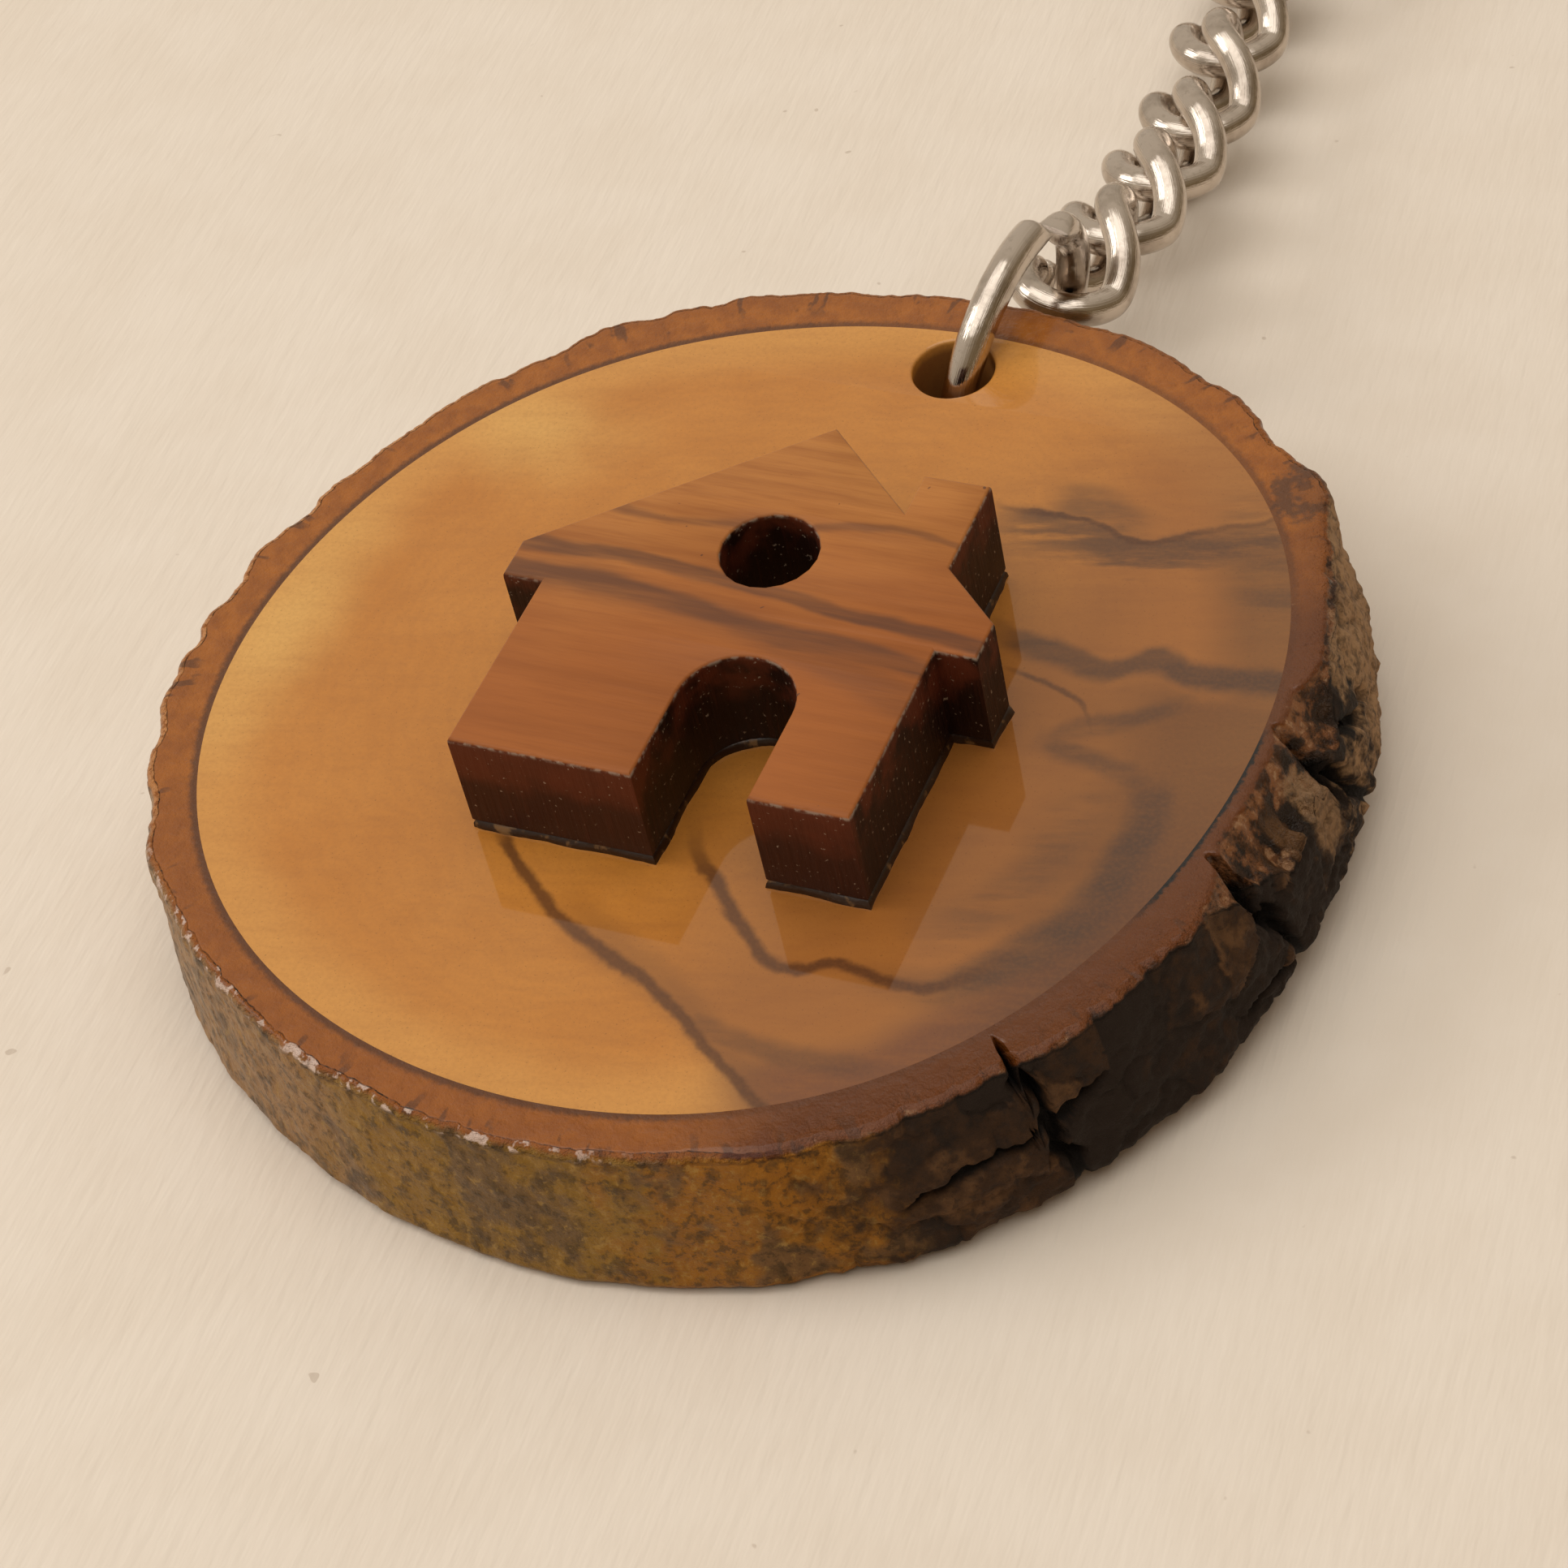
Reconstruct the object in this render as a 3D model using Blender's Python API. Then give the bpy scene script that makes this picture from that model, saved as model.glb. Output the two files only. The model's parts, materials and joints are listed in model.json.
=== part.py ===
"""A keychain: a slice of branch with its bark on and a small wooden house glued to its face, a jump
ring through a drilled hole, six twisted chain links and a split ring for keys.

Z is up and Y runs from the slice along the chain. The origin is the centre of the slice's underside.
The keychain lies on a table: the slice leans on its front edge and on the jump ring, which passes under it.
"""

from math import asin, atan2, cos, exp, hypot, pi, radians, sin, sqrt, tan

import bmesh
import bpy
from mathutils import Matrix, Vector

MM = 0.001

# The slice of branch. A swell is (lobes, size, bearing of one lobe in degrees from X).
SLICE_THICKNESS = 7.0 * MM
WOOD_RADIUS = 22.45 * MM
WOOD_SWELLS = (
    (1, 0.82 * MM, -25),
    (2, 0.68 * MM, 50),
    (3, 0.26 * MM, 54),
    (4, 0.24 * MM, 38),
)
WOOD_STEPS = 72
PITH_SHARE = 0.5
BARK_WIDTH = 2.3 * MM
BARK_SWELLS = (
    (1, 0.66 * MM, -18),
    (2, 0.62 * MM, 57),
    (3, 0.29 * MM, -57),
    (4, 0.29 * MM, 36),
    (5, 0.14 * MM, -21),
)
BARK_FLARE = 1.1 * MM
BARK_FLARE_SWELL = 0.5 * MM
BARK_STEPS = 176
BARK_EDGE = 0.3 * MM
BARK_LEVELS = 8
BARK_GAP = 0.25 * MM
BARK_LEAST = 0.6 * MM
# Bumps and notches round the rim: bearing in degrees, size, half the span in degrees. The first is a knot.
RIM_MARKS = (
    (38, 0.7 * MM, 4), (47, -0.3 * MM, 2.5), (57.5, -0.35 * MM, 2.5), (67, 0.1 * MM, 2.5),
    (72, -0.12 * MM, 1.5), (96, -0.15 * MM, 3), (110, 0.12 * MM, 2.5), (114, -0.3 * MM, 1.5),
    (121, -0.2 * MM, 1.5), (126, 0.25 * MM, 2.5), (133, -0.45 * MM, 2.5), (139, -0.35 * MM, 1.5),
    (163.5, 0.25 * MM, 3), (167.5, -0.3 * MM, 1.8), (175, 0.4 * MM, 4), (181, -0.3 * MM, 3),
    (185, 0.25 * MM, 1.7), (188.5, -0.25 * MM, 1.5), (196, 0.15 * MM, 2.5), (201, -0.25 * MM, 2.5),
    (211, -0.3 * MM, 4), (218, 0.2 * MM, 4),
)

# The bark is thick on the right, from one of these bearings to the other, and its plates bulge there.
THICK_BARK = (radians(-66), radians(36))
THICK_FADE = radians(14)
PLATE_BULGE = 0.35 * MM
# Where the sawn edge is broken away: bearing, depth, half the span.
BREAKS = (
    (radians(0), 2.2 * MM, radians(13)),
    (radians(24), 0.3 * MM, radians(5)),
)
# Cracks down the side: bearing at the sawn edge, bearing at the underside, depth.
CRACKS = (
    (radians(3.5), radians(12), 1.4 * MM),
    (radians(-13), radians(-7), 1.1 * MM),
    (radians(-41), radians(-37.5), 1.2 * MM),
)
CRACK_SPAN = radians(2.6)
# Cracks along the side: bearing and height at one end, bearing and height at the other, depth.
LEVEL_CRACKS = (
    (radians(-54), 3.0 * MM, radians(-32), 4.3 * MM, 0.8 * MM),
    (radians(-18), 1.4 * MM, radians(-8), 1.1 * MM, 0.6 * MM),
    (radians(10), 4.9 * MM, radians(21), 2.5 * MM, 0.8 * MM),
)
LEVEL_CRACK_REACH = 0.9 * MM

# The hole drilled through the slice for the jump ring.
HOLE_DIAMETER = 3.7 * MM
HOLE_BEARING = radians(82.3)
HOLE_EDGE = 4.7 * MM
HOLE_STEPS = 24

# The house cut from thin board and the film of glue that holds it.
HOUSE_CENTRE = Vector((1.9, -0.2)) * MM
HOUSE_HEIGHT = 20.5 * MM
HOUSE_WALLS = 17.6 * MM
HOUSE_EAVES = 21.2 * MM
HOUSE_EAVES_HEIGHT = 9.2 * MM
HOUSE_EAVES_EDGE = 2.0 * MM
HOUSE_BOARD = 4.9 * MM
DOOR_WIDTH = 5.0 * MM
DOOR_HEIGHT = 7.2 * MM
DOOR_OFFSET = 1.9 * MM
CHIMNEY_WIDTH = 3.0 * MM
CHIMNEY_OFFSET = 6.2 * MM
CHIMNEY_HEIGHT = 18.6 * MM
WINDOW_DIAMETER = 4.2 * MM
WINDOW_HEIGHT = 13.0 * MM
ARC_STEPS = 10
GLUE_THICKNESS = 0.2 * MM
GLUE_MARGIN = 0.5 * MM
GLUE_GAP = 0.1 * MM

# The jump ring: round wire bent to a circle, its two cut ends a little out of line.
RING_WIRE = 1.6 * MM
RING_DIAMETER = 13.6 * MM
RING_HEADING = radians(-5.5)
RING_LEAN = radians(10)
RING_CUT = 0.4 * MM
RING_CUT_BEARING = radians(60)
RING_SPREAD = 0.5 * MM
RING_STEPS = 40

# The chain: oval links of round wire, each twisted a quarter turn so that its two ends stand crosswise.
LINKS = 6
LINK_WIRE = 1.6 * MM
LINK_LENGTH = 9.6 * MM
LINK_WIDTH = 6.2 * MM
LINK_PLAY = 0.2 * MM
LINK_CUT = 0.35 * MM
LINK_CUT_PLACE = -0.8 * MM
LINK_STEPS = 32
TWIST = radians(90)
TWIST_START = 0.2
FIRST_LINK_SLOPE = radians(10)
DRAPED_LINKS = 3
CHAIN_CURVE = radians(2)

# The split ring: one flat wire wound twice round, with a step where it climbs to the second turn.
SPLIT_DIAMETER = 25.0 * MM
SPLIT_WIDTH = 1.7 * MM
SPLIT_THICKNESS = 0.9 * MM
SPLIT_GAP = 0.45 * MM
SPLIT_CORNER = 0.3 * MM
SPLIT_STEP_BEARING = radians(50)
SPLIT_STEP_SPAN = radians(44)
SPLIT_STEPS = 76

# Sizes that follow from those above.
HOLE_RADIUS = HOLE_DIAMETER / 2
RING_RADIUS = (RING_DIAMETER - RING_WIRE) / 2
LINK_HALF = (LINK_LENGTH - LINK_WIRE) / 2
LINK_BEND = (LINK_WIDTH - LINK_WIRE) / 2
LINK_PITCH = 2 * LINK_HALF - LINK_WIRE - LINK_PLAY
SPLIT_RADIUS = (SPLIT_DIAMETER - SPLIT_WIDTH) / 2
SPLIT_RISE = SPLIT_THICKNESS + SPLIT_GAP
HOUSE_SEAT = SLICE_THICKNESS + GLUE_THICKNESS + 2 * GLUE_GAP


def clear_scene():
    for old in list(bpy.data.objects):
        bpy.data.objects.remove(old, do_unlink=True)


def finish(name, colour, roughness, metallic=0.0):
    made = bpy.data.materials.new(name)
    made.use_nodes = True
    shader = made.node_tree.nodes["Principled BSDF"]
    shader.inputs["Base Color"].default_value = (*colour, 1.0)
    shader.inputs["Roughness"].default_value = roughness
    shader.inputs["Metallic"].default_value = metallic
    return made


def add(name, data, material):
    piece = bpy.data.objects.new(name, data)
    bpy.context.scene.collection.objects.link(piece)
    data.materials.append(material)
    return piece


def loft(name, loops, material, joined):
    """A solid skinned over loops of points. Its first and last loops are joined to each other or capped."""
    mesh = bpy.data.meshes.new(name)
    shell = bmesh.new()
    rows = [[shell.verts.new(point) for point in loop] for loop in loops]
    pairs = list(zip(rows, rows[1:]))
    if joined:
        pairs.append((rows[-1], rows[0]))
    else:
        shell.faces.new(rows[0])
        shell.faces.new(rows[-1])
    for low, high in pairs:
        for i in range(len(low)):
            j = (i + 1) % len(low)
            shell.faces.new((low[i], low[j], high[j], high[i]))
    bmesh.ops.recalc_face_normals(shell, faces=shell.faces)
    shell.to_mesh(mesh)
    shell.free()
    return add(name, mesh, material)


def board(name, outlines, low, thickness, material):
    """A flat board cut to closed outlines, the later ones being holes in the first."""
    curve = bpy.data.curves.new(name, "CURVE")
    curve.dimensions = "2D"
    curve.fill_mode = "BOTH"
    curve.extrude = thickness / 2
    for outline in outlines:
        spline = curve.splines.new("POLY")
        spline.points.add(len(outline) - 1)
        for point, place in zip(spline.points, outline):
            point.co = (*place, 0.0, 1.0)
        spline.use_cyclic_u = True
    piece = add(name, curve, material)
    piece.location.z = low + thickness / 2
    return piece


def bent_wire(name, path, diameter, material):
    curve = bpy.data.curves.new(name, "CURVE")
    curve.dimensions = "3D"
    curve.bevel_depth = diameter / 2
    curve.bevel_resolution = 2
    curve.use_fill_caps = True
    spline = curve.splines.new("POLY")
    spline.points.add(len(path) - 1)
    for point, place in zip(spline.points, path):
        point.co = (*place, 1.0)
    spline.use_smooth = True
    return add(name, curve, material)


def carry(piece, carrier, pivot, turn):
    """Place a piece with its origin on its pivot, turned and carried by another piece."""
    piece.parent = carrier
    bpy.context.view_layer.update()
    piece.matrix_world = Matrix.Translation(pivot) @ turn


def smooth_step(share):
    share = min(max(share, 0.0), 1.0)
    return share * share * (3 - 2 * share)


def swelling(mean, swells, bearing):
    return mean + sum(size * cos(lobes * (bearing - radians(lobe))) for lobes, size, lobe in swells)


def wood_radius(bearing):
    return swelling(WOOD_RADIUS, WOOD_SWELLS, bearing)


def rim_radius(bearing):
    return swelling(WOOD_RADIUS + BARK_WIDTH, BARK_SWELLS, bearing)


def around(bearing, radius, height):
    return Vector((radius * cos(bearing), radius * sin(bearing), height))


def bearings(steps):
    return [2 * pi * i / steps - pi for i in range(steps)]


def make_wood(material):
    """The disc of wood, its faces divided by a loop at the heartwood."""
    outside = [(b, wood_radius(b)) for b in bearings(WOOD_STEPS)]
    shares = ((PITH_SHARE, 0.0), (1.0, 0.0), (1.0, SLICE_THICKNESS), (PITH_SHARE, SLICE_THICKNESS))
    loops = [[around(b, share * r, z) for b, r in outside] for share, z in shares]
    return loft("wood_slice", loops, material, joined=False)


def rim_marked(bearing):
    """How far bumps stand out of the rim, or notches cut into it."""
    out = 0.0
    for place, size, span in RIM_MARKS:
        turned = (bearing - radians(place) + pi) % (2 * pi) - pi
        out += size * exp(-((turned / radians(span)) ** 2))
    return out


def thickness_share(bearing):
    """1 where the bark is thick and cracked, 0 where it is smooth."""
    start, end = THICK_BARK
    return smooth_step((bearing - start) / THICK_FADE + 0.5) * smooth_step((end - bearing) / THICK_FADE + 0.5)


def dip(offset, reach):
    return max(1 - abs(offset) / reach, 0.0)


def broken(bearing):
    """How far the sawn edge is broken away."""
    return sum(depth * exp(-(((bearing - place) / span) ** 4)) for place, depth, span in BREAKS)


def cracked(bearing, height):
    """How deep the cracks in the side are at a bearing and a height."""
    share = height / SLICE_THICKNESS
    depths = [0.0]
    for top, bottom, depth in CRACKS:
        depths.append(depth * dip(bearing - bottom - (top - bottom) * share, CRACK_SPAN))
    for start, start_height, end, end_height, depth in LEVEL_CRACKS:
        along = (bearing - start) / (end - start)
        if 0 <= along <= 1:
            level = start_height + (end_height - start_height) * along
            depths.append(depth * dip(height - level, LEVEL_CRACK_REACH))
    return max(depths)


def bark_radius(bearing, height):
    """The bark's outside. Its cracks stop short of the wood."""
    share = height / SLICE_THICKNESS
    thick = thickness_share(bearing)
    out = rim_radius(bearing) + (BARK_FLARE + BARK_FLARE_SWELL * cos(bearing)) * (1 - share)
    out += rim_marked(bearing) * share**3
    out += thick * PLATE_BULGE * sin(pi * share) - cracked(bearing, height)
    return max(out, wood_radius(bearing) + BARK_GAP + BARK_LEAST)


def make_bark(material):
    """The bark round the wood. It flares to the underside, has a notched rim, and is cracked on the right."""
    wall, underside, slope, edge = [], [], [], []
    sides = [[] for _ in range(BARK_LEVELS)]
    for b in bearings(BARK_STEPS):
        inner = wood_radius(b) + BARK_GAP
        drop = broken(b)
        top = SLICE_THICKNESS - drop
        rim = bark_radius(b, top)
        wall.append(around(b, inner, 0.0))
        underside.append(around(b, bark_radius(b, 0.0) - BARK_EDGE, 0.0))
        for i, side in enumerate(sides):
            height = BARK_EDGE + (top - 2 * BARK_EDGE) * i / (BARK_LEVELS - 1)
            side.append(around(b, bark_radius(b, height), height))
        edge.append(around(b, rim - BARK_EDGE, top))
        slope.append(around(b, (inner + rim - BARK_EDGE) / 2, SLICE_THICKNESS - drop / 2))
    face = [around(b, wood_radius(b) + BARK_GAP, SLICE_THICKNESS) for b in bearings(BARK_STEPS)]
    return loft("bark_ring", [face, wall, underside, *sides, edge, slope], material, joined=True)


def drill(piece, hole):
    cut = piece.modifiers.new("hanging hole", "BOOLEAN")
    cut.operation = "DIFFERENCE"
    cut.solver = "EXACT"
    cut.object = hole


def make_hole(place):
    """The drill that the hanging hole is cut with, twice as long as the slice is thick."""
    ends = (-SLICE_THICKNESS / 2, SLICE_THICKNESS * 1.5)
    loops = [[place + around(b, HOLE_RADIUS, z) for b in bearings(HOLE_STEPS)] for z in ends]
    hole = loft("hole_drill", loops, finish("drill", (0.5, 0.5, 0.5), 0.5), joined=False)
    hole.hide_render = True
    hole.display_type = "WIRE"
    return hole


def arc(centre, radius, start, end):
    return [
        (centre[0] + radius * cos(start + (end - start) * i / ARC_STEPS),
         centre[1] + radius * sin(start + (end - start) * i / ARC_STEPS))
        for i in range(ARC_STEPS + 1)
    ]


def house_outlines(margin):
    """The house's outline and its round window, drawn in from the edge by a margin."""
    wall = HOUSE_WALLS / 2 - margin
    eaves = HOUSE_EAVES / 2 - margin
    low = margin
    eaves_low = HOUSE_EAVES_HEIGHT + margin
    rise = HOUSE_HEIGHT - HOUSE_EAVES_HEIGHT - HOUSE_EAVES_EDGE
    slope = rise / (HOUSE_EAVES / 2)
    top = HOUSE_HEIGHT - margin * sqrt(1 + slope * slope)
    door = DOOR_WIDTH / 2 + margin
    spring = DOOR_HEIGHT - DOOR_WIDTH / 2
    left, right = (CHIMNEY_OFFSET + side * (CHIMNEY_WIDTH / 2 - margin) for side in (-1, 1))
    outline = [(-wall, low)]
    outline += [(DOOR_OFFSET - door, low)]
    outline += arc((DOOR_OFFSET, spring), door, pi, 0)
    outline += [(DOOR_OFFSET + door, low)]
    outline += [(wall, low), (wall, eaves_low), (eaves, eaves_low), (eaves, top - slope * eaves)]
    outline += [(right, top - slope * right), (right, CHIMNEY_HEIGHT - margin)]
    outline += [(left, CHIMNEY_HEIGHT - margin), (left, top - slope * left)]
    outline += [(0.0, top), (-eaves, top - slope * eaves), (-eaves, eaves_low), (-wall, eaves_low)]
    window = arc((0.0, WINDOW_HEIGHT), WINDOW_DIAMETER / 2 + margin, 0, -2 * pi)[:-1]
    shift = HOUSE_CENTRE - Vector((0.0, HOUSE_HEIGHT / 2))
    return [[(x + shift.x, y + shift.y) for x, y in line] for line in (outline, window)]


def ring_path():
    """The jump ring's circle about X, from one cut end to the other, its ends spread apart sideways."""
    cut = RING_CUT / RING_RADIUS
    path = []
    for i in range(RING_STEPS + 1):
        share = i / RING_STEPS
        b = RING_CUT_BEARING + cut / 2 + (2 * pi - cut) * share
        path.append(Vector((RING_SPREAD * (share - 0.5), RING_RADIUS * cos(b), RING_RADIUS * sin(b))))
    return path


def oval_point(length):
    """The point at a length round a link's oval, from the middle of its left side towards its near end."""
    side = LINK_HALF - LINK_BEND
    bend = pi * LINK_BEND
    length = length % (4 * side + 2 * bend)
    if length < side:
        return -LINK_BEND, -length
    if length < side + bend:
        turn = (length - side) / LINK_BEND
        return -LINK_BEND * cos(turn), -side - LINK_BEND * sin(turn)
    if length < 3 * side + bend:
        return LINK_BEND, length - 2 * side - bend
    if length < 3 * side + 2 * bend:
        turn = (length - 3 * side - bend) / LINK_BEND
        return LINK_BEND * cos(turn), side + LINK_BEND * sin(turn)
    return -LINK_BEND, 4 * side + 2 * bend - length


def link_path(reach):
    """A twisted link along Y, from one cut end to the other. Its pivot lies at a reach from its near end."""
    whole = 4 * (LINK_HALF - LINK_BEND) + 2 * pi * LINK_BEND
    path = []
    for i in range(LINK_STEPS + 1):
        across, along = oval_point(-LINK_CUT_PLACE + LINK_CUT / 2 + (whole - LINK_CUT) * i / LINK_STEPS)
        share = (along + LINK_HALF) / (2 * LINK_HALF)
        turn = TWIST * smooth_step((share - TWIST_START) / (1 - 2 * TWIST_START))
        path.append(Vector((across * cos(turn), along + LINK_HALF - reach, across * sin(turn))))
    return path


def split_height(turned):
    """The height of the split ring's wire after turning by an angle from the middle of its step."""
    return SPLIT_RISE * (smooth_step((turned - 2 * pi) / SPLIT_STEP_SPAN + 0.5) - 0.5)


def split_turns():
    start = SPLIT_STEP_SPAN / 2
    return [start + (4 * pi - 2 * start) * i / SPLIT_STEPS for i in range(SPLIT_STEPS + 1)]


def split_loops():
    """Sections of flat wire with cut corners, along both turns. The ring's near side is at its pivot."""
    wide, tall = SPLIT_WIDTH / 2, SPLIT_THICKNESS / 2
    inner_wide, inner_tall = wide - SPLIT_CORNER, tall - SPLIT_CORNER
    corners = [(wide, inner_tall), (inner_wide, tall), (-inner_wide, tall), (-wide, inner_tall)]
    section = corners + [(-out, -up) for out, up in corners]
    centre = Vector((0.0, SPLIT_RADIUS, 0.0))
    loops = []
    for turned in split_turns():
        b = turned + SPLIT_STEP_BEARING
        height = split_height(turned)
        loops.append([centre + around(b, SPLIT_RADIUS + out, height + up) for out, up in section])
    return loops


def print_split_gap():
    """Print the least gap between the two turns of the split ring, measured on its points."""
    places = [around(t, SPLIT_RADIUS, split_height(t)) for t in split_turns()]
    apart = SPLIT_STEPS // 4
    least = min(
        (places[i] - places[j]).length for i in range(len(places)) for j in range(i + apart, len(places))
    )
    print(f"split ring: least gap between turns {(least - SPLIT_THICKNESS) / MM:.2f} mm")


def ring_seat():
    """The jump ring's distance from the hole's axis to its centre, midway in the play in the hole."""
    half = SLICE_THICKNESS / 2
    slant = cos(asin(half / cos(RING_LEAN) / RING_RADIUS))
    aside = half * tan(RING_LEAN)
    least = RING_RADIUS - HOLE_RADIUS + RING_WIRE / 2
    most = RING_RADIUS * slant + sqrt((HOLE_RADIUS - RING_WIRE / 2 / slant) ** 2 - aside**2)
    return (least + most) / 2


def make_slice(seat, hole_place):
    """The slice and what is glued to it, carried by an empty that leans as the slice does."""
    board_wood = finish("cut board", (0.50, 0.24, 0.09), 0.45)
    pieces = [
        make_wood(finish("olive wood", (0.62, 0.40, 0.17), 0.25)),
        make_bark(finish("bark", (0.17, 0.12, 0.07), 0.6)),
        board("glue_film", house_outlines(GLUE_MARGIN), SLICE_THICKNESS + GLUE_GAP, GLUE_THICKNESS,
              finish("dry glue", (0.55, 0.48, 0.36), 0.3)),
        board("house_cutout", house_outlines(0.0), HOUSE_SEAT, HOUSE_BOARD, board_wood),
    ]
    hole = make_hole(hole_place)
    for piece in pieces[:2]:
        drill(piece, hole)
    for piece in pieces + [hole]:
        piece.parent = seat


def make_chain(ring, ring_turn, ring_centre, steel, table):
    """The links in order. The first rides round the jump ring and the next ones come down to the table.
    Odd links tip about the wire of their own near end, even ones swing about the wire that they hold."""
    inside = LINK_WIRE + LINK_PLAY
    turn = ring_turn @ Matrix.Rotation(-FIRST_LINK_SLOPE, 4, "X")
    near = ring_centre + turn @ Vector((0.0, RING_RADIUS - inside, 0.0))
    lying = table + LINK_WIDTH / 2
    carrier = ring
    for number in range(1, LINKS + 1):
        if number > 1:
            draped = max(DRAPED_LINKS - number + 1, 1)
            slope = asin((lying - near.z) / draped / LINK_PITCH)
            heading = CHAIN_CURVE * (number - 2)
            turn = Matrix.Rotation(heading, 4, "Z") @ Matrix.Rotation(slope, 4, "X")
        reach = inside - RING_RADIUS if number == 1 else inside * (1 - number % 2)
        link = bent_wire(f"chain_link_{number}", link_path(reach), LINK_WIRE, steel)
        carry(link, carrier, near + turn @ Vector((0.0, reach, 0.0)), turn)
        carrier = link
        far = near + turn @ Vector((0.0, 2 * LINK_HALF, 0.0))
        near = near + turn @ Vector((0.0, LINK_PITCH, 0.0))
    return carrier, far, turn


def make_split_ring(link, link_far, link_turn, steel, table):
    """The split ring through the last link's far end, its other side resting on the table."""
    tall = SPLIT_RISE + SPLIT_THICKNESS
    inside = LINK_BEND - LINK_WIRE / 2
    reach = sqrt(inside**2 - (tall / 2) ** 2) - LINK_PLAY + SPLIT_CORNER
    pivot = link_far + link_turn @ Vector((0.0, reach - LINK_BEND - SPLIT_WIDTH / 2, 0.0))
    slope = -asin((pivot.z - table - tall / 2) / (2 * SPLIT_RADIUS))
    piece = loft("split_ring", split_loops(), steel, joined=False)
    carry(piece, link, pivot, link_turn @ Matrix.Rotation(slope, 4, "X"))


def main():
    clear_scene()
    steel = finish("nickel-plated steel", (0.72, 0.70, 0.67), 0.22, 1.0)
    middle = Vector((0.0, 0.0, SLICE_THICKNESS / 2))
    hole_place = around(HOLE_BEARING, rim_radius(HOLE_BEARING) - HOLE_EDGE, 0.0)
    ring_reach = Vector((0.0, ring_seat(), 0.0))
    ring_turn = Matrix.Rotation(RING_HEADING, 4, "Z") @ Matrix.Rotation(RING_LEAN, 4, "Y")
    ring_centre = hole_place + middle + ring_turn @ ring_reach

    front = rim_radius(-pi / 2) + BARK_FLARE - BARK_EDGE
    run = ring_centre.y + front
    ring_low = RING_RADIUS * cos(RING_LEAN) + RING_WIRE / 2
    tilt = asin(ring_low / hypot(run, ring_centre.z)) - atan2(ring_centre.z, run)
    table = -front * sin(tilt)
    lean = Matrix.Rotation(tilt, 4, "X")

    seat = bpy.data.objects.new("slice_seat", None)
    bpy.context.scene.collection.objects.link(seat)
    seat.rotation_euler.x = tilt
    make_slice(seat, hole_place)
    ring = bent_wire("jump_ring", [point + ring_reach for point in ring_path()], RING_WIRE, steel)
    carry(ring, seat, lean @ (hole_place + middle), lean @ ring_turn)
    last_link, far, turn = make_chain(ring, lean @ ring_turn, lean @ ring_centre, steel, table)
    make_split_ring(last_link, far, turn, steel, table)
    print_split_gap()


main()
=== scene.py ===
"""A keychain lying on a table: a lacquered slice of olive branch with its bark on, a small wooden house
glued to its face, a jump ring through a drilled hole, six twisted links and a split ring for keys."""

import json
from math import asin, atan2, cos, exp, hypot, pi, radians, sin, sqrt

import bmesh
import bpy
from mathutils import Matrix, Vector, noise
from mathutils.geometry import tessellate_polygon


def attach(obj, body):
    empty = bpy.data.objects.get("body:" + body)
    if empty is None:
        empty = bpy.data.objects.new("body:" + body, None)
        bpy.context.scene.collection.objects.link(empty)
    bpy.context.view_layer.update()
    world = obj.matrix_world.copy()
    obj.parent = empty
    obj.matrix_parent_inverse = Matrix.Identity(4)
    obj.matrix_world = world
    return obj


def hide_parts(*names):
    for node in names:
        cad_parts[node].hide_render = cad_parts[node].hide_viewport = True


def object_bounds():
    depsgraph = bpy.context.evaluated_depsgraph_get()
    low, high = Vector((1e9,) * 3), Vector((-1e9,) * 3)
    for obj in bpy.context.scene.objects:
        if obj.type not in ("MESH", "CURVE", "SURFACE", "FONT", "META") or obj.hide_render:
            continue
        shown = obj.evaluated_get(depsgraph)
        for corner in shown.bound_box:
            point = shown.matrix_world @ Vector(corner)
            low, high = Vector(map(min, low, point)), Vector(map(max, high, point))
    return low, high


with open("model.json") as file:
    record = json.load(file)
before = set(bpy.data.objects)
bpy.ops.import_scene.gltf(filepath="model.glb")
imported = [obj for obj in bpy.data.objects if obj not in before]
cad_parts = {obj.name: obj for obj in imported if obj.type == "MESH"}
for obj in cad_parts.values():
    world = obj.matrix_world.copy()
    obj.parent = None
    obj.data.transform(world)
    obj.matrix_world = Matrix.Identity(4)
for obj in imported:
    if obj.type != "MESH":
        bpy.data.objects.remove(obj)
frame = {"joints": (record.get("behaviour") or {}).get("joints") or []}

cad_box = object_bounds()


# The disc of wood, sawn across an olive branch, sanded and lacquered to a gloss. Its dark lines are the
# branch's own figure. The hole for the jump ring is drilled through it close to the bark.

MM = 0.001
SLICE_THICKNESS = 7.0 * MM
WOOD_RADIUS = 22.45 * MM
WOOD_SWELLS = (
    (1, 0.82 * MM, -25),
    (2, 0.68 * MM, 50),
    (3, 0.26 * MM, 54),
    (4, 0.24 * MM, 38),
)
WOOD_STEPS = 240
WOOD_TO_BARK = 0.12 * MM
RIM_RADIUS = 24.75 * MM
RIM_SWELLS = (
    (1, 0.66 * MM, -18),
    (2, 0.62 * MM, 57),
    (3, 0.29 * MM, -57),
    (4, 0.29 * MM, 36),
    (5, 0.14 * MM, -21),
)
HOLE_RADIUS = 1.85 * MM
HOLE_BEARING = radians(82.3)
HOLE_EDGE = 4.7 * MM
HOLE_STEPS = 72
HOLE_ROUGHNESS = 0.02 * MM
# The hole's edge, worn round: how far it is worn back, and depth below the face, in millimetres.
HOLE_WEAR = ((0.16, 0.0), (0.07, 0.03), (0.02, 0.09), (0.0, 0.2), (0.0, 1.2), (0.0, 2.4), (0.0, 3.5))

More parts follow.
